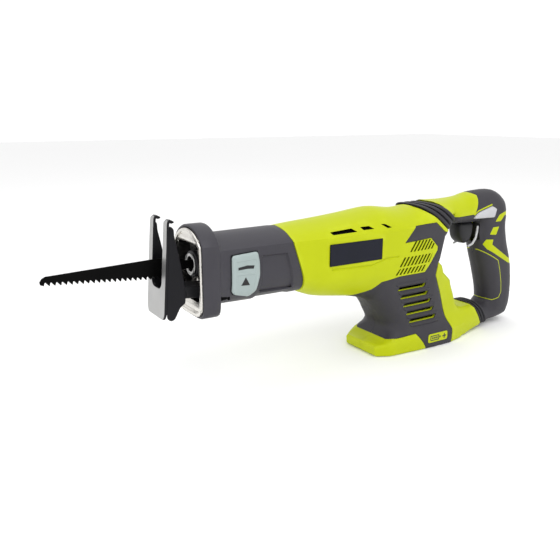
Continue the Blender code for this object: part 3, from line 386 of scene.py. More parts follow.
def triangulated(loops, lines, free):
    """Triangles between closed loops, open lines and free points, with the triangles' centres."""
    coords = [tuple(p) for loop in loops for p in loop]
    edges = []
    first = 0
    for loop in loops:
        edges += [(first + i, first + (i + 1) % len(loop)) for i in range(len(loop))]
        first += len(loop)
    for line in lines:
        dense = straight(line) + [line[-1]]
        edges += [(first + i, first + i + 1) for i in range(len(dense) - 1)]
        coords += dense
        first += len(dense)
    coords += [tuple(p) for p in free]
    flat, _, faces, *_ = delaunay_2d_cdt([Vector(p) for p in coords], edges, [], 0, 1e-4)
    flat = np.array([tuple(p) for p in flat])
    return flat, faces, np.array([flat[list(face)].mean(0) for face in faces])


def moulded(name, materials, runs, side, hand, insets, keep=None, pockets=(), holes=(), paints=(),
            middle=None, grid=GRID, crown=None, lines=(), angle=32.0):
    """One side of a moulded shell as a closed solid.

    keep limits it to an outline and crown is that edge's rounding (width, drop). A pocket is
    (outline, depth, wall, material index); a paint is (outline, material index, depth).
    """
    runs = fine_runs(runs)
    outline = [p for _, _, run in runs for p in run[:-1]]
    loops = [outline]
    if keep is not None:
        keep = closed(keep)
        loops.append(keep)
        if crown:
            loops += [moved_in(keep, crown[0] * part) for part in (0.35, 1.0)]
    rims = [closed(shape, 4.0) for shape, *_ in pockets]
    loops += rims + [moved_in(rim, wall) for rim, (_, _, wall, _) in zip(rims, pockets)]
    loops += [closed(shape, 3.0) for shape in holes] + [closed(shape, 3.0) for shape, *_ in paints]
    free = field_points(runs, outline, grid)
    for loop in loops[1:]:
        free = free[distance(free, loop + loop[:1]) > 0.8]
    if keep is not None:
        free = free[inside(free, keep)]
    flat, faces, centres = triangulated(loops, lines, free)
    chosen = inside(centres, outline)
    if keep is not None:
        chosen &= inside(centres, keep)
    for hole in holes:
        chosen &= ~inside(centres, list(hole))
    low_edge = np.full(len(flat), SPLIT) if middle is None else middle(flat)
    outer = half_width(flat, runs, side, insets[0], low_edge)
    inner = half_width(flat, runs, side, insets[1], low_edge)
    tint = np.zeros(len(faces), int)
    for rim, (_, depth, wall, index) in zip(rims, pockets):
        tester = moved_in(rim, wall - 0.04)
        sunk = half_width(flat, runs, side, insets[0] + depth, low_edge)
        outer = np.where(inside(flat, tester), sunk, outer)
        if index:
            tint[inside(centres, rim)] = index
    for shape, index, depth in paints:
        tint[inside(centres, list(shape))] = index
        tester = moved_in(closed(shape, 3.0), -0.04)
        outer = np.where(inside(flat, tester), np.maximum(outer - depth, low_edge), outer)
    if keep is not None and crown:
        rim = distance(flat, keep + keep[:1])
        outer = np.maximum(outer - crown[1] * np.clip(1 - rim / crown[0], 0, 1) ** 2.0, low_edge)
    inner = np.minimum(inner, np.maximum(outer - 0.5, low_edge))
    used = [(face, int(t), int(t)) for face, ok, t in zip(faces, chosen, tint) if ok]
    return stitch(name, materials, flat, used, outer, inner, hand, angle)


def stitch(name, materials, flat, faces, outer, inner, hand, angle):
    bm = bmesh.new()
    used = sorted({i for face, *_ in faces for i in face})
    top = {i: bm.verts.new(place(flat[i][0], hand * outer[i], flat[i][1])) for i in used}
    low = {}
    for i in used:
        merged = outer[i] - inner[i] < 1e-4
        low[i] = top[i] if merged else bm.verts.new(place(flat[i][0], hand * inner[i], flat[i][1]))
    return sheet_solid(name, materials, bm, faces, top, low, angle)


def sheet_solid(name, materials, bm, faces, top, low, angle=32.0):
    """Both sides of a sheet and the walls round its border.

    faces are (corners, material index of the top, material index of the underside and walls).
    """
    border = {}
    for (a, b, c), tint, under in faces:
        if all(low[i] is top[i] for i in (a, b, c)):
            continue
        bm.faces.new((top[a], top[b], top[c])).material_index = tint
        bm.faces.new((low[c], low[b], low[a])).material_index = under
        for edge in ((a, b), (b, c), (c, a)):
            if edge[::-1] in border:
                del border[edge[::-1]]
            else:
                border[edge] = under
    for (a, b), under in border.items():
        corners = list(dict.fromkeys((top[b], top[a], low[a], low[b])))
        if len(corners) > 2:
            bm.faces.new(corners).material_index = under
    return from_bmesh(name, bm, materials, angle)


def rings_mesh(name, rings, materials, cyclic=False, tints=None, angle=32.0):
    """A surface through closed rings: capped at both ends, or joined end to end."""
    bm = bmesh.new()
    made = [[bm.verts.new(place(*p)) for p in ring] for ring in rings]
    count = len(rings[0])
    pairs = list(zip(made, made[1:])) + ([(made[-1], made[0])] if cyclic else [])
    for k, (near, far) in enumerate(pairs):
        for i in range(count):
            j = (i + 1) % count
            face = bm.faces.new((near[i], near[j], far[j], far[i]))
            face.material_index = tints[k] if tints else 0
    if not cyclic:
        bm.faces.new(made[0][::-1])
        bm.faces.new(made[-1])
    return from_bmesh(name, bm, materials, angle)


def plate(name, outline, y0, y1, materials, edge=0.4):
    """A flat (X, Z) outline between two values of Y, with eased edges."""
    small = moved_in(outline, edge)
    rings = []
    for shape, y in ((small, y0), (outline, y0 + edge), (outline, y1 - edge), (small, y1)):
        rings.append([(x, y, z) for x, z in shape])
    return rings_mesh(name, rings, materials)


def turned(name, profile, centre, materials, count=32, angle=32.0):
    """A solid of revolution along X: profile is (x, radius) pairs, closed when it starts off axis."""
    rings = [[(x, centre[0] + r * math.cos(2 * math.pi * i / count),
               centre[1] + r * math.sin(2 * math.pi * i / count)) for i in range(count)]
             for x, r in profile]
    return rings_mesh(name, rings, materials, cyclic=True, angle=angle)


def finish_piece(obj, body, slot, *nodes):
    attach(obj, body)
    if nodes:
        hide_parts(*nodes)
    return obj


# ---------------------------------------------------------------- materials
def shader_of(name):
    mat = bpy.data.materials.new(name)
    mat.use_nodes = True
    return mat, mat.node_tree, mat.node_tree.nodes["Principled BSDF"]


def node(tree, kind, **inputs):
    made = tree.nodes.new(kind)
    for key, value in inputs.items():
        made.inputs[key.replace("_", " ")].default_value = value
    return made


def grainy(name, colour, roughness, spread, grain, depth, patch=0.06, metallic=0.0, stretch=(1, 1, 1),
           specular=0.5, wear=0.0):
    """A surface with fine moulded or ground grain, slight colour patches and uneven gloss."""
    mat, tree, shader = shader_of(name)
    links = tree.links
    coords = tree.nodes.new("ShaderNodeTexCoord")
    mapping = tree.nodes.new("ShaderNodeMapping")
    mapping.inputs["Scale"].default_value = stretch
    links.new(coords.outputs["Object"], mapping.inputs["Vector"])
    fine = node(tree, "ShaderNodeTexNoise", Scale=grain, Detail=4.0, Roughness=0.6)
    broad = node(tree, "ShaderNodeTexNoise", Scale=35.0, Detail=3.0, Roughness=0.55)
    links.new(mapping.outputs["Vector"], fine.inputs["Vector"])
    links.new(coords.outputs["Object"], broad.inputs["Vector"])
    ramp = tree.nodes.new("ShaderNodeValToRGB")
    ramp.color_ramp.elements[0].position = 0.3
    ramp.color_ramp.elements[1].position = 0.7
    ramp.color_ramp.elements[0].color = (*[c * (1 - patch) for c in colour], 1)
    ramp.color_ramp.elements[1].color = (*[min(c * (1 + patch), 1.0) for c in colour], 1)
    links.new(broad.outputs["Fac"], ramp.inputs["Fac"])
    final = ramp.outputs["Color"]
    if wear:
        geometry = tree.nodes.new("ShaderNodeNewGeometry")
        edge = tree.nodes.new("ShaderNodeMapRange")
        edge.inputs["From Min"].default_value = 0.52
        edge.inputs["From Max"].default_value = 0.62
        edge.inputs["To Max"].default_value = wear
        links.new(geometry.outputs["Pointiness"], edge.inputs["Value"])
        mix = tree.nodes.new("ShaderNodeMix")
        mix.data_type = "RGBA"
        mix.inputs["B"].default_value = (*[min(c * 1.5 + 0.06, 1.0) for c in colour], 1)
        links.new(edge.outputs["Result"], mix.inputs["Factor"])
        links.new(final, mix.inputs["A"])
        final = mix.outputs["Result"]
    links.new(final, shader.inputs["Base Color"])
    rough = tree.nodes.new("ShaderNodeMapRange")
    rough.inputs["To Min"].default_value = roughness - spread
    rough.inputs["To Max"].default_value = roughness + spread
    links.new(fine.outputs["Fac"], rough.inputs["Value"])
    links.new(rough.outputs["Result"], shader.inputs["Roughness"])
    bump = tree.nodes.new("ShaderNodeBump")
    bump.inputs["Strength"].default_value = 0.5
    bump.inputs["Distance"].default_value = depth * MM
    links.new(fine.outputs["Fac"], bump.inputs["Height"])
    links.new(bump.outputs["Normal"], shader.inputs["Normal"])
    shader.inputs["Metallic"].default_value = metallic
    shader.inputs["Specular IOR Level"].default_value = specular
    return mat


def dotted(name, colour, roughness, pitch, depth):
    """Moulded plastic with a raised dot pattern."""
    mat = grainy(name, colour, roughness, 0.05, 1800, 0.02)
    tree = mat.node_tree
    shader = tree.nodes["Principled BSDF"]
    coords = tree.nodes["Texture Coordinate"]
    cells = node(tree, "ShaderNodeTexVoronoi", Scale=1 / (pitch * MM), Randomness=0.0)
    tree.links.new(coords.outputs["Object"], cells.inputs["Vector"])
    bump = tree.nodes.new("ShaderNodeBump")
    bump.invert = True
    bump.inputs["Distance"].default_value = depth * MM
    tree.links.new(cells.outputs["Distance"], bump.inputs["Height"])
    tree.links.new(tree.nodes["Bump"].outputs["Normal"], bump.inputs["Normal"])
    tree.links.new(bump.outputs["Normal"], shader.inputs["Normal"])
    return mat


LIME = grainy("lime plastic", (0.45, 0.51, 0.003), 0.42, 0.06, 2600, 0.03, 0.025, specular=0.16, wear=0.2)
# Darker lime painted shade for the floors of the louvre grooves, standing in for the shadow inside the vents.
SHADE = grainy("lime vent painted shade", (0.11, 0.13, 0.003), 0.6, 0.06, 2600, 0.03, 0.05, specular=0.1)
RUBBER = grainy("overmold rubber", (0.034, 0.032, 0.039), 0.52, 0.08, 1900, 0.05, 0.06, specular=0.3,
                wear=0.1)
BOOT = grainy("boot rubber", (0.036, 0.034, 0.043), 0.46, 0.07, 1700, 0.05, 0.06, specular=0.35, wear=0.1)
SEAL = grainy("isolator rubber", (0.027, 0.026, 0.031), 0.55, 0.08, 1500, 0.05, 0.08, specular=0.3, wear=0.1)
BLACK = grainy("black plastic", (0.016, 0.016, 0.018), 0.45, 0.06, 2400, 0.03, 0.1, specular=0.3)
# Near-black painted shade for the top vents' floors and the inside of the nose's mouth.
INSIDE_SHADE = grainy("painted inside shade", (0.003, 0.003, 0.003), 0.9, 0.05, 900, 0.05, 0.1, specular=0.05)
PLATE = grainy("name plate", (0.009, 0.010, 0.018), 0.38, 0.05, 3000, 0.02, 0.08, specular=0.15)
GREY = grainy("lever plastic", (0.33, 0.39, 0.385), 0.45, 0.06, 2200, 0.03, 0.03, specular=0.25, wear=0.15)
PALE = dotted("button plastic", (0.50, 0.50, 0.52), 0.50, 1.5, 0.25)
SILVER = grainy("trigger trim", (0.48, 0.48, 0.49), 0.40, 0.06, 2200, 0.03, 0.04, specular=0.3)
CAST = grainy("cast alloy", (0.66, 0.64, 0.60), 0.22, 0.10, 420, 0.3, 0.05, 1.0)
STEEL = grainy("bright steel", (0.42, 0.42, 0.41), 0.30, 0.08, 900, 0.05, 0.05, 1.0, (0.06, 1, 1))
SHOE_FACE = grainy("brushed shoe", (0.42, 0.42, 0.415), 0.42, 0.08, 1600, 0.05, 0.05, 0.8, (1, 1, 0.05))
SHOE_SIDE = grainy("shoe side", (0.004, 0.004, 0.006), 0.42, 0.08, 900, 0.06, 0.15, specular=0.2)
DARK_STEEL = grainy("black oxide steel", (0.016, 0.016, 0.018), 0.42, 0.08, 1200, 0.05, 0.12, specular=0.3)
BLADE = grainy("blade coating", (0.0018, 0.0018, 0.0018), 0.42, 0.08, 1400, 0.04, 0.2, 0.0, (0.08, 1, 1),
               specular=0.05)
BRONZE = grainy("sintered bronze", (0.50, 0.30, 0.12), 0.45, 0.08, 1300, 0.06, 0.08, 1.0)
COPPER = grainy("copper", (0.70, 0.32, 0.16), 0.32, 0.08, 900, 0.04, 0.06, 1.0)
RED = grainy("red insulation", (0.42, 0.015, 0.015), 0.45, 0.06, 1500, 0.03, 0.05)

CARRIED = {
    "name_plate_left": PLATE, "name_plate_right": PLATE, "gearbox_cover": CAST, "gearbox_housing": CAST,
    "front_bushing": BRONZE, "rear_bushing": BRONZE, "commutator": COPPER, "terminal_positive": COPPER,
    "terminal_negative": COPPER, "lead_positive": RED, "lead_negative": BLACK, "lead_motor": BLACK,
    "rotor_core": DARK_STEEL, "carbon_brush_upper": DARK_STEEL, "carbon_brush_lower": DARK_STEEL,
    "motor_fan": BLACK, "motor_end_cap": BLACK, "switch_module": BLACK, "battery_socket": BLACK,
    "shoe_bracket": DARK_STEEL, "clamp_spring": DARK_STEEL, "clamp_pin": DARK_STEEL,
}


# ---------------------------------------------------------------- body
def louvre_slots():
    """Slanted grooves cut to the three rows of the side louvres."""
    made = []
    for row in LOUVRES:
        z0, z1 = row[0][1], row[1][1]
        low, high = min(p[0] for p in row) - 14, max(p[0] for p in row)
        for i in range(int((high - low) / LOUVRE_PITCH) + 1):
            x = low + i * LOUVRE_PITCH
            lean = (z1 - z0) * LOUVRE_LEAN
            strip = [(x, z0), (x + LOUVRE_WIDTH, z0), (x + LOUVRE_WIDTH + lean, z1), (x + lean, z1)]
            slot = clipped(strip, row)
            if len(slot) > 2 and abs(area(slot)) > 5:
                made.append(slot)
    return made


def panel_slots(height, lift=0.0):
    """The stacked slots in the neck's rubber panel."""
    made = []
    for row in range(SLOT_ROWS):
        z = 69.0 - SLOT_PITCH * row + lift
        x = 64.0 + SLOT_STEP * row
        made.append([(x, z - height / 2), (x + 37.4, z - height / 2), (x + 40, z + height / 2),
                     (x + 2.0, z + height / 2)])
    return made


def panel_ribs(half=2.3):
    """The raised bars above, between and below those slots."""
    made = []
    for row in range(SLOT_ROWS + 1):
        z = 73.6 - SLOT_PITCH * row
        x = 60.0 + SLOT_STEP * row
        made.append(rounded([(x, z - half), (x + 44, z - half), (x + 46, z + half), (x + 2, z + half)], 1.8))
    return made


def screw_holes(screws, hand):
    return [ring_outline(x, z, 3.6) for x, z, _ in screws] if hand > 0 else []


def build_body():
    edge = moved_in(OVERMOLD, -0.25)
    x0, x1, z0, z1 = NAME_PLATE
    seat = rounded(rectangle(x0 - 0.3, x1 + 0.3, z0 - 0.3, z1 + 0.3), 1.0)
    pockets = [(edge, 1.3, 0.15, 0), (seat, 1.4, 0.3, 0), (stroke(SWAGE, 2.4), 0.9, 0.9, 0)]
    # Louvre groove floors get painted shade (index 2), and top vent floors get near-black painted shade
    # (index 1).
    pockets += [(slot, 3.0, 0.3, 2) for slot in louvre_slots()]
    pockets += [(rounded(vent, 0.8), 2.4, 0.25, 1) for vent in TOP_VENTS]
    crease = [[(-62, CREASE_Z), (97, CREASE_Z)]]
    for hand, word in ((-1, "left"), (1, "right")):
        holes = panel_slots(3.3, 0.35) + screw_holes(HOUSING_SCREWS, hand)
        shell = moulded(f"body_shell_{word}", [LIME, INSIDE_SHADE, SHADE], BODY_RUNS, body_side, hand, (0.0, 3.4),
                        pockets=pockets, holes=holes, lines=crease)
        finish_piece(shell, "saw", "lime", f"housing_{word}")
        build_panel(hand, word)


def build_panel(hand, word):
    """The rubber over the neck, up to the handle and round the foot's side."""
    slots = [rounded(slot, 1.0) for slot in panel_slots(4.2)]
    x0, x1, z0, z1 = BADGE
    pockets = [(rib, -1.3, 1.6, 0) for rib in panel_ribs()]
    pockets.append((rounded(rectangle(x0 - 0.4, x1 + 0.4, z0 - 0.4, z1 + 0.4), 2.5), 0.5, 0.3, 0))
    panel = moulded(f"neck_rubber_{word}", [RUBBER], BODY_RUNS, body_side, hand, (-0.15, 1.2),
                    keep=rounded(OVERMOLD, 1.5), pockets=pockets,
                    holes=slots + screw_holes(HOUSING_SCREWS, hand), crown=(1.2, 0.7), grid=4.0)
    finish_piece(panel, "saw", "overmold", f"overmold_{word}")
    build_badge(hand, word)


def build_badge(hand, word):
    """The foot's badge, with a battery outline, its three bars and a plus sign."""
    back, face = hand * 34.1, hand * 34.85
    mark = plate(f"badge_{word}", rounded(rectangle(*BADGE), 2.5), *sorted((back, face)), [LIME], 0.3)
    finish_piece(mark, "saw", "lime", f"foot_badge_{word}")
    x0, _, z0, z1 = BADGE
    battery = [(x0 + 3.4, z0 + 2.4), (x0 + 15, z0 + 2.4), (x0 + 15, z1 - 2.4), (x0 + 3.4, z1 - 2.4),
               (x0 + 3.4, z0 + 3.0)]
    signs = [stroke(battery, 0.9), rectangle(x0 + 16.2, x0 + 17.8, z0 + 3.8, z1 - 3.8),
             rectangle(x0 + 20.6, x0 + 26, 9.6, 10.8), rectangle(x0 + 22.7, x0 + 23.9, 7.4, 13.0)]
    signs += [rectangle(x0 + x, x0 + x + 2.2, z0 + 4, z1 - 4) for x in (5.2, 8.2, 11.2)]
    ys = sorted((face - hand * 0.3, face + hand * 0.2))
    for number, sign in enumerate(signs, 1):
        made = plate(f"badge_sign_{word}_{number}", sign, *ys, [RUBBER], 0.05)
        finish_piece(made, "saw", "overmold")


def slot_edge(flat):
    """The parting edge stands back round the trigger."""
    x, z = flat.T
    return np.where((x < 206.5) & (z > 99.4) & (z < 124.5), 10.4, SPLIT)


def build_handle():
    button = rounded(moved_in(BUTTON, -0.35), 1.2)
    edge = moved_in(GRIP, -0.2)
    for hand, word in ((-1, "left"), (1, "right")):
        holes = [button] + screw_holes(HANDLE_SCREWS, hand)
        shell = moulded(f"handle_shell_{word}", [LIME], HANDLE_RUNS, handle_side, hand, (0.0, 3.0),
                        pockets=[(edge, 1.3, 0.15, 0)], holes=holes, middle=slot_edge)
        finish_piece(shell, "saw", "lime", f"handle_{word}")
        paints = [(rounded(shape, 1.0), 1, 0.12) for shape in DASHES]
        paints += [(stroke(GRIP_LINE, 0.8), 1, 0.1), (stroke(REAR_LINE, 0.7), 1, 0.1)]
        lip = stroke([(182, 133), (187.4, 137), (210.6, 142.6)], 1.6)
        paints.append((lip, 1, 0.0))
        skin = moulded(f"grip_rubber_{word}", [RUBBER, LIME], HANDLE_RUNS, handle_side, hand, (-0.15, 1.2),
                       keep=rounded(GRIP, 1.5), holes=holes, paints=paints, middle=slot_edge,
                       crown=(1.2, 0.7), grid=4.0)
        finish_piece(skin, "saw", "overmold", f"grip_{word}")


def build_screws():
    """Star-recess screws in the right-hand shells."""
    named = [(HOUSING_SCREWS, "housing_screw"), (HANDLE_SCREWS, "handle_screw")]
    for screws, word in named:
        for number, (x, z, half) in enumerate(screws, 1):
            head = half - 0.4
            profile = ((-half + 6, 1.5, 0), (head - 3, 1.5, 0), (head - 2.4, 3.1, 0), (head - 0.6, 3.1, 0),
                       (head, 2.6, 0), (head, 1.7, 1), (head - 1.4, 1.6, 1))
            rings = []
            for y, radius, dip in profile:
                ring = []
                for i in range(24):
                    turn = 2 * math.pi * i / 24
                    r = radius * (1 - dip * 0.16 * (i % 4 == 0))
                    ring.append((x + r * math.cos(turn), y, z + r * math.sin(turn)))
                rings.append(ring)
            screw = rings_mesh(f"{word}_{number}_detail", rings, [DARK_STEEL])
            finish_piece(screw, "saw", "dark_steel", f"{word}_{number}")


# ---------------------------------------------------------------- rubber rings
def section(centre, down, reach, width, count=56, power=2.7):
    points = []
    for i in range(count):
        t = 2 * math.pi * (i + 0.5) / count
        along = math.copysign(abs(math.cos(t)) ** (2 / power), math.cos(t)) * reach
        across = math.copysign(abs(math.sin(t)) ** (2 / power), math.sin(t)) * width
        spot = centre + down * along
        points.append((spot.x, across, spot.y))
    return points


def rib_height(u):
    """Height of the ribbed profile at a fraction of one rib."""
    edge = 0.13
    if u < edge or u > 1 - edge:
        return -1.3
    return 1.7 * math.sin(math.pi * (u - edge) / (1 - 2 * edge)) ** 0.45


def build_ring(name, ring):
    down = Vector((math.cos(ring["slope"]), math.sin(ring["slope"])))
    tilt = abs(down.y)

    def cut(along, rise):
        part = along / ring["length"]
        low = ring["z"][0] + ring["lift"] * part
        reach = (ring["z"][1] - low) / 2 / tilt
        centre = Vector(ring["top"]) + down * reach + Vector((along / tilt, 0))
        width = ring["w"][0] + (ring["w"][1] - ring["w"][0]) * part
        return section(centre, down, reach + rise, width + rise)

    rings = []
    steps = 12 * ring["ribs"]
    for i in range(steps + 1):
        along = 0.2 + (ring["length"] - 0.4) * i / steps
        rings.append(cut(along, rib_height((ring["ribs"] * i / steps) % 1.0 if 0 < i < steps else 0.0)))
    rings += [cut(ring["length"] - 0.2, -4.0), cut(0.2, -4.0)]
    sleeve = rings_mesh(f"{name}_ribbed", rings, [SEAL], cyclic=True, angle=50)
    finish_piece(sleeve, "saw", "isolator", name)


# ---------------------------------------------------------------- nose
def collar_ring(x, inset, arch=14, belly=16, side=5):
    """One section of the collar: arched top, crease, flat sides and a rounded bottom."""
    rise = COLLAR["top"] - COLLAR["crease"]
    radius = (COLLAR["w_crease"] ** 2 + rise ** 2) / (2 * rise)
    half = []
    for i in range(arch + 1):
        y = (COLLAR["w_crease"] - inset) * i / arch
        half.append((y, COLLAR["top"] - radius + math.sqrt((radius - inset) ** 2 - y * y)))
    top_z = half[-1][1]
    for i in range(1, side + 1):
        half.append((COLLAR["w"] - inset, top_z - 0.8 + (COLLAR["mid"] - top_z + 0.8) * (i - 1) / side))
    drop = COLLAR["mid"] - COLLAR["low"] - inset
    for i in range(belly + 1):
        t = math.pi / 2 * i / belly
        y = (COLLAR["w"] - inset) * math.cos(t) ** (2 / COLLAR["n"])
        half.append((y, COLLAR["mid"] - drop * math.sin(t) ** (2 / COLLAR["n"])))
    left = [(x, -y, z) for y, z in half if y > 0.01]
    return [(x, y, z) for y, z in half] + left[::-1]


def resized(ring, count):
    """The same closed ring with points at equal turns about the stroke's axis."""
    pts = np.array(ring)
    turn = np.unwrap(np.arctan2(pts[:, 1], pts[:, 2] - 108.0))
    order = np.argsort(turn)
    turn, pts = turn[order], pts[order]
    goals = np.linspace(-math.pi, math.pi, count, endpoint=False)
    return [tuple(float(np.interp(g, turn, pts[:, k], period=2 * math.pi)) for k in range(3)) for g in goals]


def mouth_ring(x, half, low, high, count, power=9.0):
    """A rounded rectangular mouth at equal turns about the same axis."""
    ring = []
    for i in range(240):
        t = 2 * math.pi * i / 240
        y = math.copysign(abs(math.sin(t)) ** (2 / power), math.sin(t)) * half
        z = math.copysign(abs(math.cos(t)) ** (2 / power), math.cos(t)) * (high - low) / 2
        ring.append((x, y, z + (high + low) / 2))
    return resized(ring, count)


def build_nose():
    profile = [(-146.4, 2.9), (-147.8, 2.5), (-148.4, 1.9), (-148.5, 1.2), (-148.2, 0.5), (-147.2, 0.05),
               (-140, 0.0), (-134.2, 0.05), (-133.0, 0.5), (-132.4, 1.4), (-131.6, 3.2), (-131.4, 5.6),
               (-133, 5.8), (-134, 3.0)]
    collar = rings_mesh("nose_collar", [collar_ring(x, inset) for x, inset in profile], [BOOT], cyclic=True)
    finish_piece(collar, "saw", "boot")
    count = 96
    outer = [(-146.0, 3.0), (-149.2, 3.0), (-149.8, 3.3), (-149.9, 4.0), (-149.4, 4.6)]
    rings = [resized(collar_ring(x, inset), count) for x, inset in outer]
    rings += [mouth_ring(*numbers, count) for numbers in MOUTH]
    # Past the bright front face, the mouth's inside is painted near-black as shade, and so is the bulkhead
    # plate behind it.
    bright = 8
    tints = [0] * bright + [1] * (len(rings) - bright)
    liner = rings_mesh("nose_casting", rings, [CAST, INSIDE_SHADE], cyclic=True, tints=tints, angle=40)
    finish_piece(liner, "saw", "cast_alloy")
    bulkhead = plate("nose_shade_bulkhead", rectangle(-123.4, -122.0, 86.6, 132.6), -23.6, 23.6, [INSIDE_SHADE], 0.3)
    cut_round(bulkhead, 13.4)
    finish_piece(bulkhead, "saw", "cast_alloy")


def cut_round(obj, radius):
    """A round hole through a plate, about the stroke's axis."""
    bm = bmesh.new()
    bmesh.ops.create_cone(bm, cap_ends=True, segments=40, radius1=radius * MM, radius2=radius * MM,
                          depth=20 * MM)
    turn = Matrix.Rotation(math.radians(90), 4, "Y")
    bmesh.ops.transform(bm, matrix=Matrix.Translation(place(-122.6, 0, STROKE_Z)) @ turn, verts=bm.verts)
    cutter = from_bmesh("hole", bm, [])
    mod = obj.modifiers.new("hole", "BOOLEAN")
    mod.object = cutter
    graph = bpy.context.evaluated_depsgraph_get()
    mesh = bpy.data.meshes.new_from_object(obj.evaluated_get(graph))
    obj.modifiers.clear()
    obj.data = mesh
    bpy.data.objects.remove(cutter, do_unlink=True)


def build_boot():
    gap = rounded(moved_in(LEVER, -0.7), 1.5)
    for hand, word in ((-1, "left"), (1, "right")):
        pockets = [(rounded(BOOT_PANEL, 1.5), 1.8, 1.4, 0)]
        if hand < 0:
            pockets.append((gap, 2.2, 0.3, 0))
        half = moulded(f"boot_{word}", [BOOT], BOOT_RUNS, boot_side, hand, (0.0, 2.8), pockets=pockets,
                       lines=[[(-132.4, CREASE_Z), (-60, CREASE_Z)]])
        finish_piece(half, "saw", "boot", *(["nose_boot"] if hand < 0 else []))
    lever = moulded("lever", [GREY, BLACK], BOOT_RUNS, boot_side, -1, (-2.9, -0.6), keep=rounded(LEVER, 2.4),
                    pockets=[(rounded(shape, 1.2), 0.4, 0.5, 0) for shape in LEVER_FRAMES],
                    paints=[(LEVER_BAR, 1, 0.1), (LEVER_ARROW, 1, 0.1)], crown=(2.0, 1.3), grid=3.0)
    finish_piece(lever, "release_lever", "grey_plastic", "release_lever")


def build_clamp():
    """The collar of the blade clamp, with a bright split ring at its front."""
    sleeve = turned("clamp_collar", [(-146, 9.4), (-146, 10.8), (-145.2, 11.4), (-140, 11.4), (-139, 10.6),
                                     (-134, 10.6), (-133, 11.4), (-114.8, 11.4), (-114, 10.8), (-114, 9.4)],
                    (0, STROKE_Z), [DARK_STEEL])
    finish_piece(sleeve, "clamp_sleeve", "cast_alloy", "clamp_sleeve")
    radius, wire = 9.0, 0.7
    rings = []
    for i in range(33):
        turn = math.radians(20 + 300 * i / 32)
        out = Vector((0, -math.sin(turn), math.cos(turn)))
        rings.append([(-147.0 + wire * math.cos(k * math.pi / 4),
                       *(out * (radius + wire * math.sin(k * math.pi / 4)) + Vector((0, 0, STROKE_Z)))[1:])
                      for k in range(8)])
    clip = rings_mesh("clamp_ring", rings, [STEEL])
    finish_piece(clip, "plunger", "bright_steel")


# ---------------------------------------------------------------- shoe and blade
def shoe_path():
    """The front plate's middle line (X, Z), from its foot up and over the curled top."""
    lean = Vector((6.6, 81.0)).normalized()
    foot = Vector((-178.8, 76.4))
    line = [foot + lean * 79.0 * i / 26 for i in range(27)]
    centre = line[-1] + Vector((lean.y, -lean.x)) * CURL
    for i in range(1, 11):
        turn = math.radians(180 - 175 * i / 10)
        line.append(centre + Vector((CURL * math.cos(turn), CURL * math.sin(turn))))
    return line


def on_path(along, lengths, pairs):
    """Pairs of numbers interpolated at distances along the shoe's path."""
    return np.stack([np.interp(along, lengths, [pair[k] for pair in pairs]) for k in (0, 1)], 1)


def build_shoe():
    path = shoe_path()
    lengths = [0.0]
    for a, b in zip(path, path[1:]):
        lengths.append(lengths[-1] + (b - a).length)
    top = lengths[-1]
    half = [(15.6, 0), (18.4, 4.5), (18.4, 60), (17.8, 76), (17.2, top), (10.8, top), (10.8, 78), (10.8, 29),
            (8.8, 25.6), (5.6, 24.2)]
    outline = half + [(-y, along) for y, along in half[::-1]]
    loop = closed(rounded(outline, 1.5), 2.0)
    free = np.array([(y, s) for y in np.arange(-18, 18.5, 2.2) for s in np.arange(1, top, 1.6)])
    free = free[inside(free, loop) & (distance(free, loop + loop[:1]) > 0.7)]
    flat, faces, centres = triangulated([loop], (), free)
    slope = [(b - a).normalized() for a, b in zip(path, path[1:])]
    slope.append(slope[-1])
    middle = on_path(flat[:, 1], lengths, path)
    across = on_path(flat[:, 1], lengths, [(-p.y, p.x) for p in slope])
    bm = bmesh.new()
    front, back = ([bm.verts.new(place(m[0] + side * n[0], y, m[1] + side * n[1]))
                    for m, n, y in zip(middle, across, flat[:, 0])] for side in (SHOE_T / 2, -SHOE_T / 2))
    used = [(face, 0 if centre[1] < SHOE_BRIGHT else 1, 1)
            for face, ok, centre in zip(faces, inside(centres, loop), centres) if ok]
    face = sheet_solid("shoe_face", [SHOE_FACE, SHOE_SIDE], bm, used, front, back)
    finish_piece(face, "shoe", "shoe_steel", "shoe")
    for hand, word in ((-1, "left"), (1, "right")):
        ys = sorted((hand * 16.5, hand * 18.6))
        wing = plate(f"shoe_wing_{word}", rounded(SHOE_WING, 1.4), *ys, [SHOE_SIDE], 0.45)
        finish_piece(wing, "shoe", "shoe_steel")
        ys = sorted((hand * 10.9, hand * 15.6))
        lug = plate(f"shoe_lug_{word}", ring_outline(*SHOE_PIVOT, 5.4, 28), *ys, [SHOE_SIDE], 0.4)
        finish_piece(lug, "shoe", "shoe_steel")
    pin = plate("shoe_pin", ring_outline(*SHOE_PIVOT, 2.6, 24), -18.2, 18.2, [DARK_STEEL], 0.5)
    finish_piece(pin, "saw", "bright_steel", "shoe_pivot_pin")


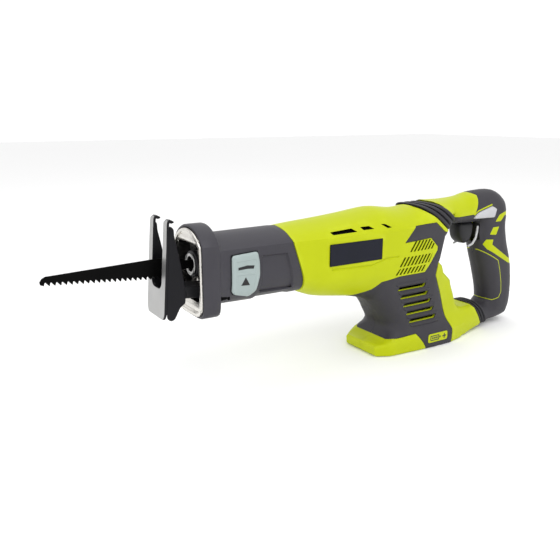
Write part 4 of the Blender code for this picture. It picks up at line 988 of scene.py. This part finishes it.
def build_blade():
    """Back, tip and tang, with teeth set to alternate sides."""
    heel, tip = Vector((-161.0, 105.9)), Vector((-266.0, 114.2))
    pitch = 25.4 / TEETH_PER_INCH
    count = round((heel - tip).length / pitch)
    run = (tip - heel) / count
    teeth = []
    for i in range(count):
        point = heel + run * i
        teeth += [tuple(point), tuple(point + run * 0.16 + Vector((0, 0.3))),
                  tuple(point + run * 0.74 + Vector((0, TOOTH_H))),
                  tuple(point + run * 0.86 + Vector((0, 2.4)))]
    outline = [(-111, 112.9), (-158, 112.9), *teeth, tuple(tip), (-268.6, 115.4), (-269, 117.4),
               (-267.4, 119.8), (-264.6, 121.3), (-182, 124.4), (-160, 124.4), (-156, 122), (-152, 120.1),
               (-111, 120.1)]
    bm = bmesh.new()
    sides = []
    for y in (-BLADE_T / 2, BLADE_T / 2):
        ring = []
        for x, z in outline:
            root = np.interp(x, [tip.x, heel.x], [tip.y, heel.y]) + TOOTH_H
            sharp = float(np.clip((root - z) / TOOTH_H, 0, 1)) * (heel.x > x > tip.x - 0.1)
            cell = int((heel.x - x) / abs(run.x) + 0.01)
            lean = 0.28 * sharp * (1 if cell % 2 else -1)
            ring.append(bm.verts.new(place(x, y * (1 - 0.45 * sharp) + lean, z)))
        sides.append(ring)
    edges = [(i, (i + 1) % len(outline)) for i in range(len(outline))]
    flat, _, faces, *_ = delaunay_2d_cdt([Vector(p) for p in outline], edges, [], 1, 1e-5)
    for a, b, c in faces:
        bm.faces.new((sides[0][a], sides[0][b], sides[0][c]))
        bm.faces.new((sides[1][c], sides[1][b], sides[1][a]))
    for a, b in edges:
        bm.faces.new((sides[0][a], sides[0][b], sides[1][b], sides[1][a]))
    blade = from_bmesh("saw_blade", bm, [BLADE], 20)
    finish_piece(blade, "blade", "blade_black", "blade")


# ---------------------------------------------------------------- controls
def build_trigger():
    rings = []
    for y, inset in ((-9.6, 5.0), (-9.0, 3.0), (-7.6, 1.3), (-5.4, 0.4), (0, 0.0), (5.4, 0.4), (7.6, 1.3),
                     (9.0, 3.0), (9.6, 5.0)):
        rings.append([(x, y, z) for x, z in rounded(moved_in(TRIGGER, inset), 4.0, 5)])
    trigger = rings_mesh("trigger_lever", rings, [BLACK], angle=50)
    finish_piece(trigger, "trigger", "black_plastic", "trigger")
    for hand, word in ((-1, "left"), (1, "right")):
        ys = sorted((hand * 9.9, hand * 11.4))
        trim = plate(f"trigger_trim_{word}", rounded(TRIGGER_TRIM, 0.8), *ys, [SILVER], 0.4)
        finish_piece(trim, "saw", "white_plastic")
    rings = []
    for y, inset in ((-19.4, 1.3), (-19.0, 0.6), (-18.2, 0.15), (-17, 0.0), (15.4, 0.0), (17.0, 0.15),
                     (17.8, 0.6), (18.2, 1.3)):
        rings.append([(x, y, z) for x, z in rounded(moved_in(BUTTON, inset), 1.5)])
    button = rings_mesh("lock_off_button", rings, [PALE], angle=50)
    finish_piece(button, "lock_button", "white_plastic", "lock_button")


# ---------------------------------------------------------------- stage
def build_stage():
    mesh = bpy.data.meshes.new("floor")
    size = 6.0
    mesh.from_pydata([(-size, -size, 0), (size, -size, 0), (size, size, 0), (-size, size, 0)], [],
                     [(0, 1, 2, 3)])
    pale, _, shader = shader_of("pale floor")
    shader.inputs["Base Color"].default_value = (0.97, 0.97, 0.97, 1)
    shader.inputs["Roughness"].default_value = 0.9
    floor = new_object("floor", mesh, [pale])
    floor.location.z = -0.0004
    build_world()
    target = Vector((-0.17, 0.0, 0.09))
    lamps = (("key", (-0.2, -0.9, 1.3), 1.0, 7.0), ("front", (-1.5, -0.3, 0.6), 0.8, 2.0),
             ("top", (0.1, 0.3, 1.5), 1.2, 4.0))
    for name, spot, size, power in lamps:
        data = bpy.data.lights.new(name, "AREA")
        data.size = size
        data.energy = power
        lamp = bpy.data.objects.new(name, data)
        bpy.context.scene.collection.objects.link(lamp)
        lamp.location = spot
        lamp.rotation_euler = (target - lamp.location).to_track_quat("-Z", "Y").to_euler()
    bpy.context.scene.view_settings.view_transform = "Standard"
    build_camera()


def build_world():
    """A white horizon that darkens towards the top of the dome."""
    world = bpy.data.worlds.new("studio")
    world.use_nodes = True
    bpy.context.scene.world = world
    tree = world.node_tree
    coords = tree.nodes.new("ShaderNodeTexCoord")
    split = tree.nodes.new("ShaderNodeSeparateXYZ")
    ramp = tree.nodes.new("ShaderNodeValToRGB")
    tree.links.new(coords.outputs["Generated"], split.inputs["Vector"])
    tree.links.new(split.outputs["Z"], ramp.inputs["Fac"])
    tree.links.new(ramp.outputs["Color"], tree.nodes["Background"].inputs["Color"])
    low, high = ramp.color_ramp.elements
    low.position, high.position = 0.25, 0.75
    low.color, high.color = (1, 1, 1, 1), (0.8, 0.8, 0.8, 1)
    tree.nodes["Background"].inputs["Strength"].default_value = 1.12


def build_camera():
    data = bpy.data.cameras.new("camera")
    data.lens = 40.27
    data.sensor_width = 36.0
    camera = bpy.data.objects.new("camera", data)
    bpy.context.scene.collection.objects.link(camera)
    camera.location = (-0.4730, -0.4759, 0.2374)
    aim = Vector((-0.1710, 0.0, 0.0898)) - camera.location
    camera.rotation_euler = aim.to_track_quat("-Z", "Y").to_euler()
    bpy.context.scene.camera = camera


def paint_carried():
    """Each CAD node that still shows gets its own procedural material."""
    for name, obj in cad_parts.items():
        obj.data.materials.clear()
        obj.data.materials.append(CARRIED.get(name, STEEL))


build_stage()
paint_carried()
build_body()
build_handle()
build_screws()
build_ring("upper_isolator", UPPER_RING)
build_ring("lower_isolator", LOWER_RING)
build_nose()
build_boot()
build_clamp()
build_shoe()
build_blade()
build_trigger()
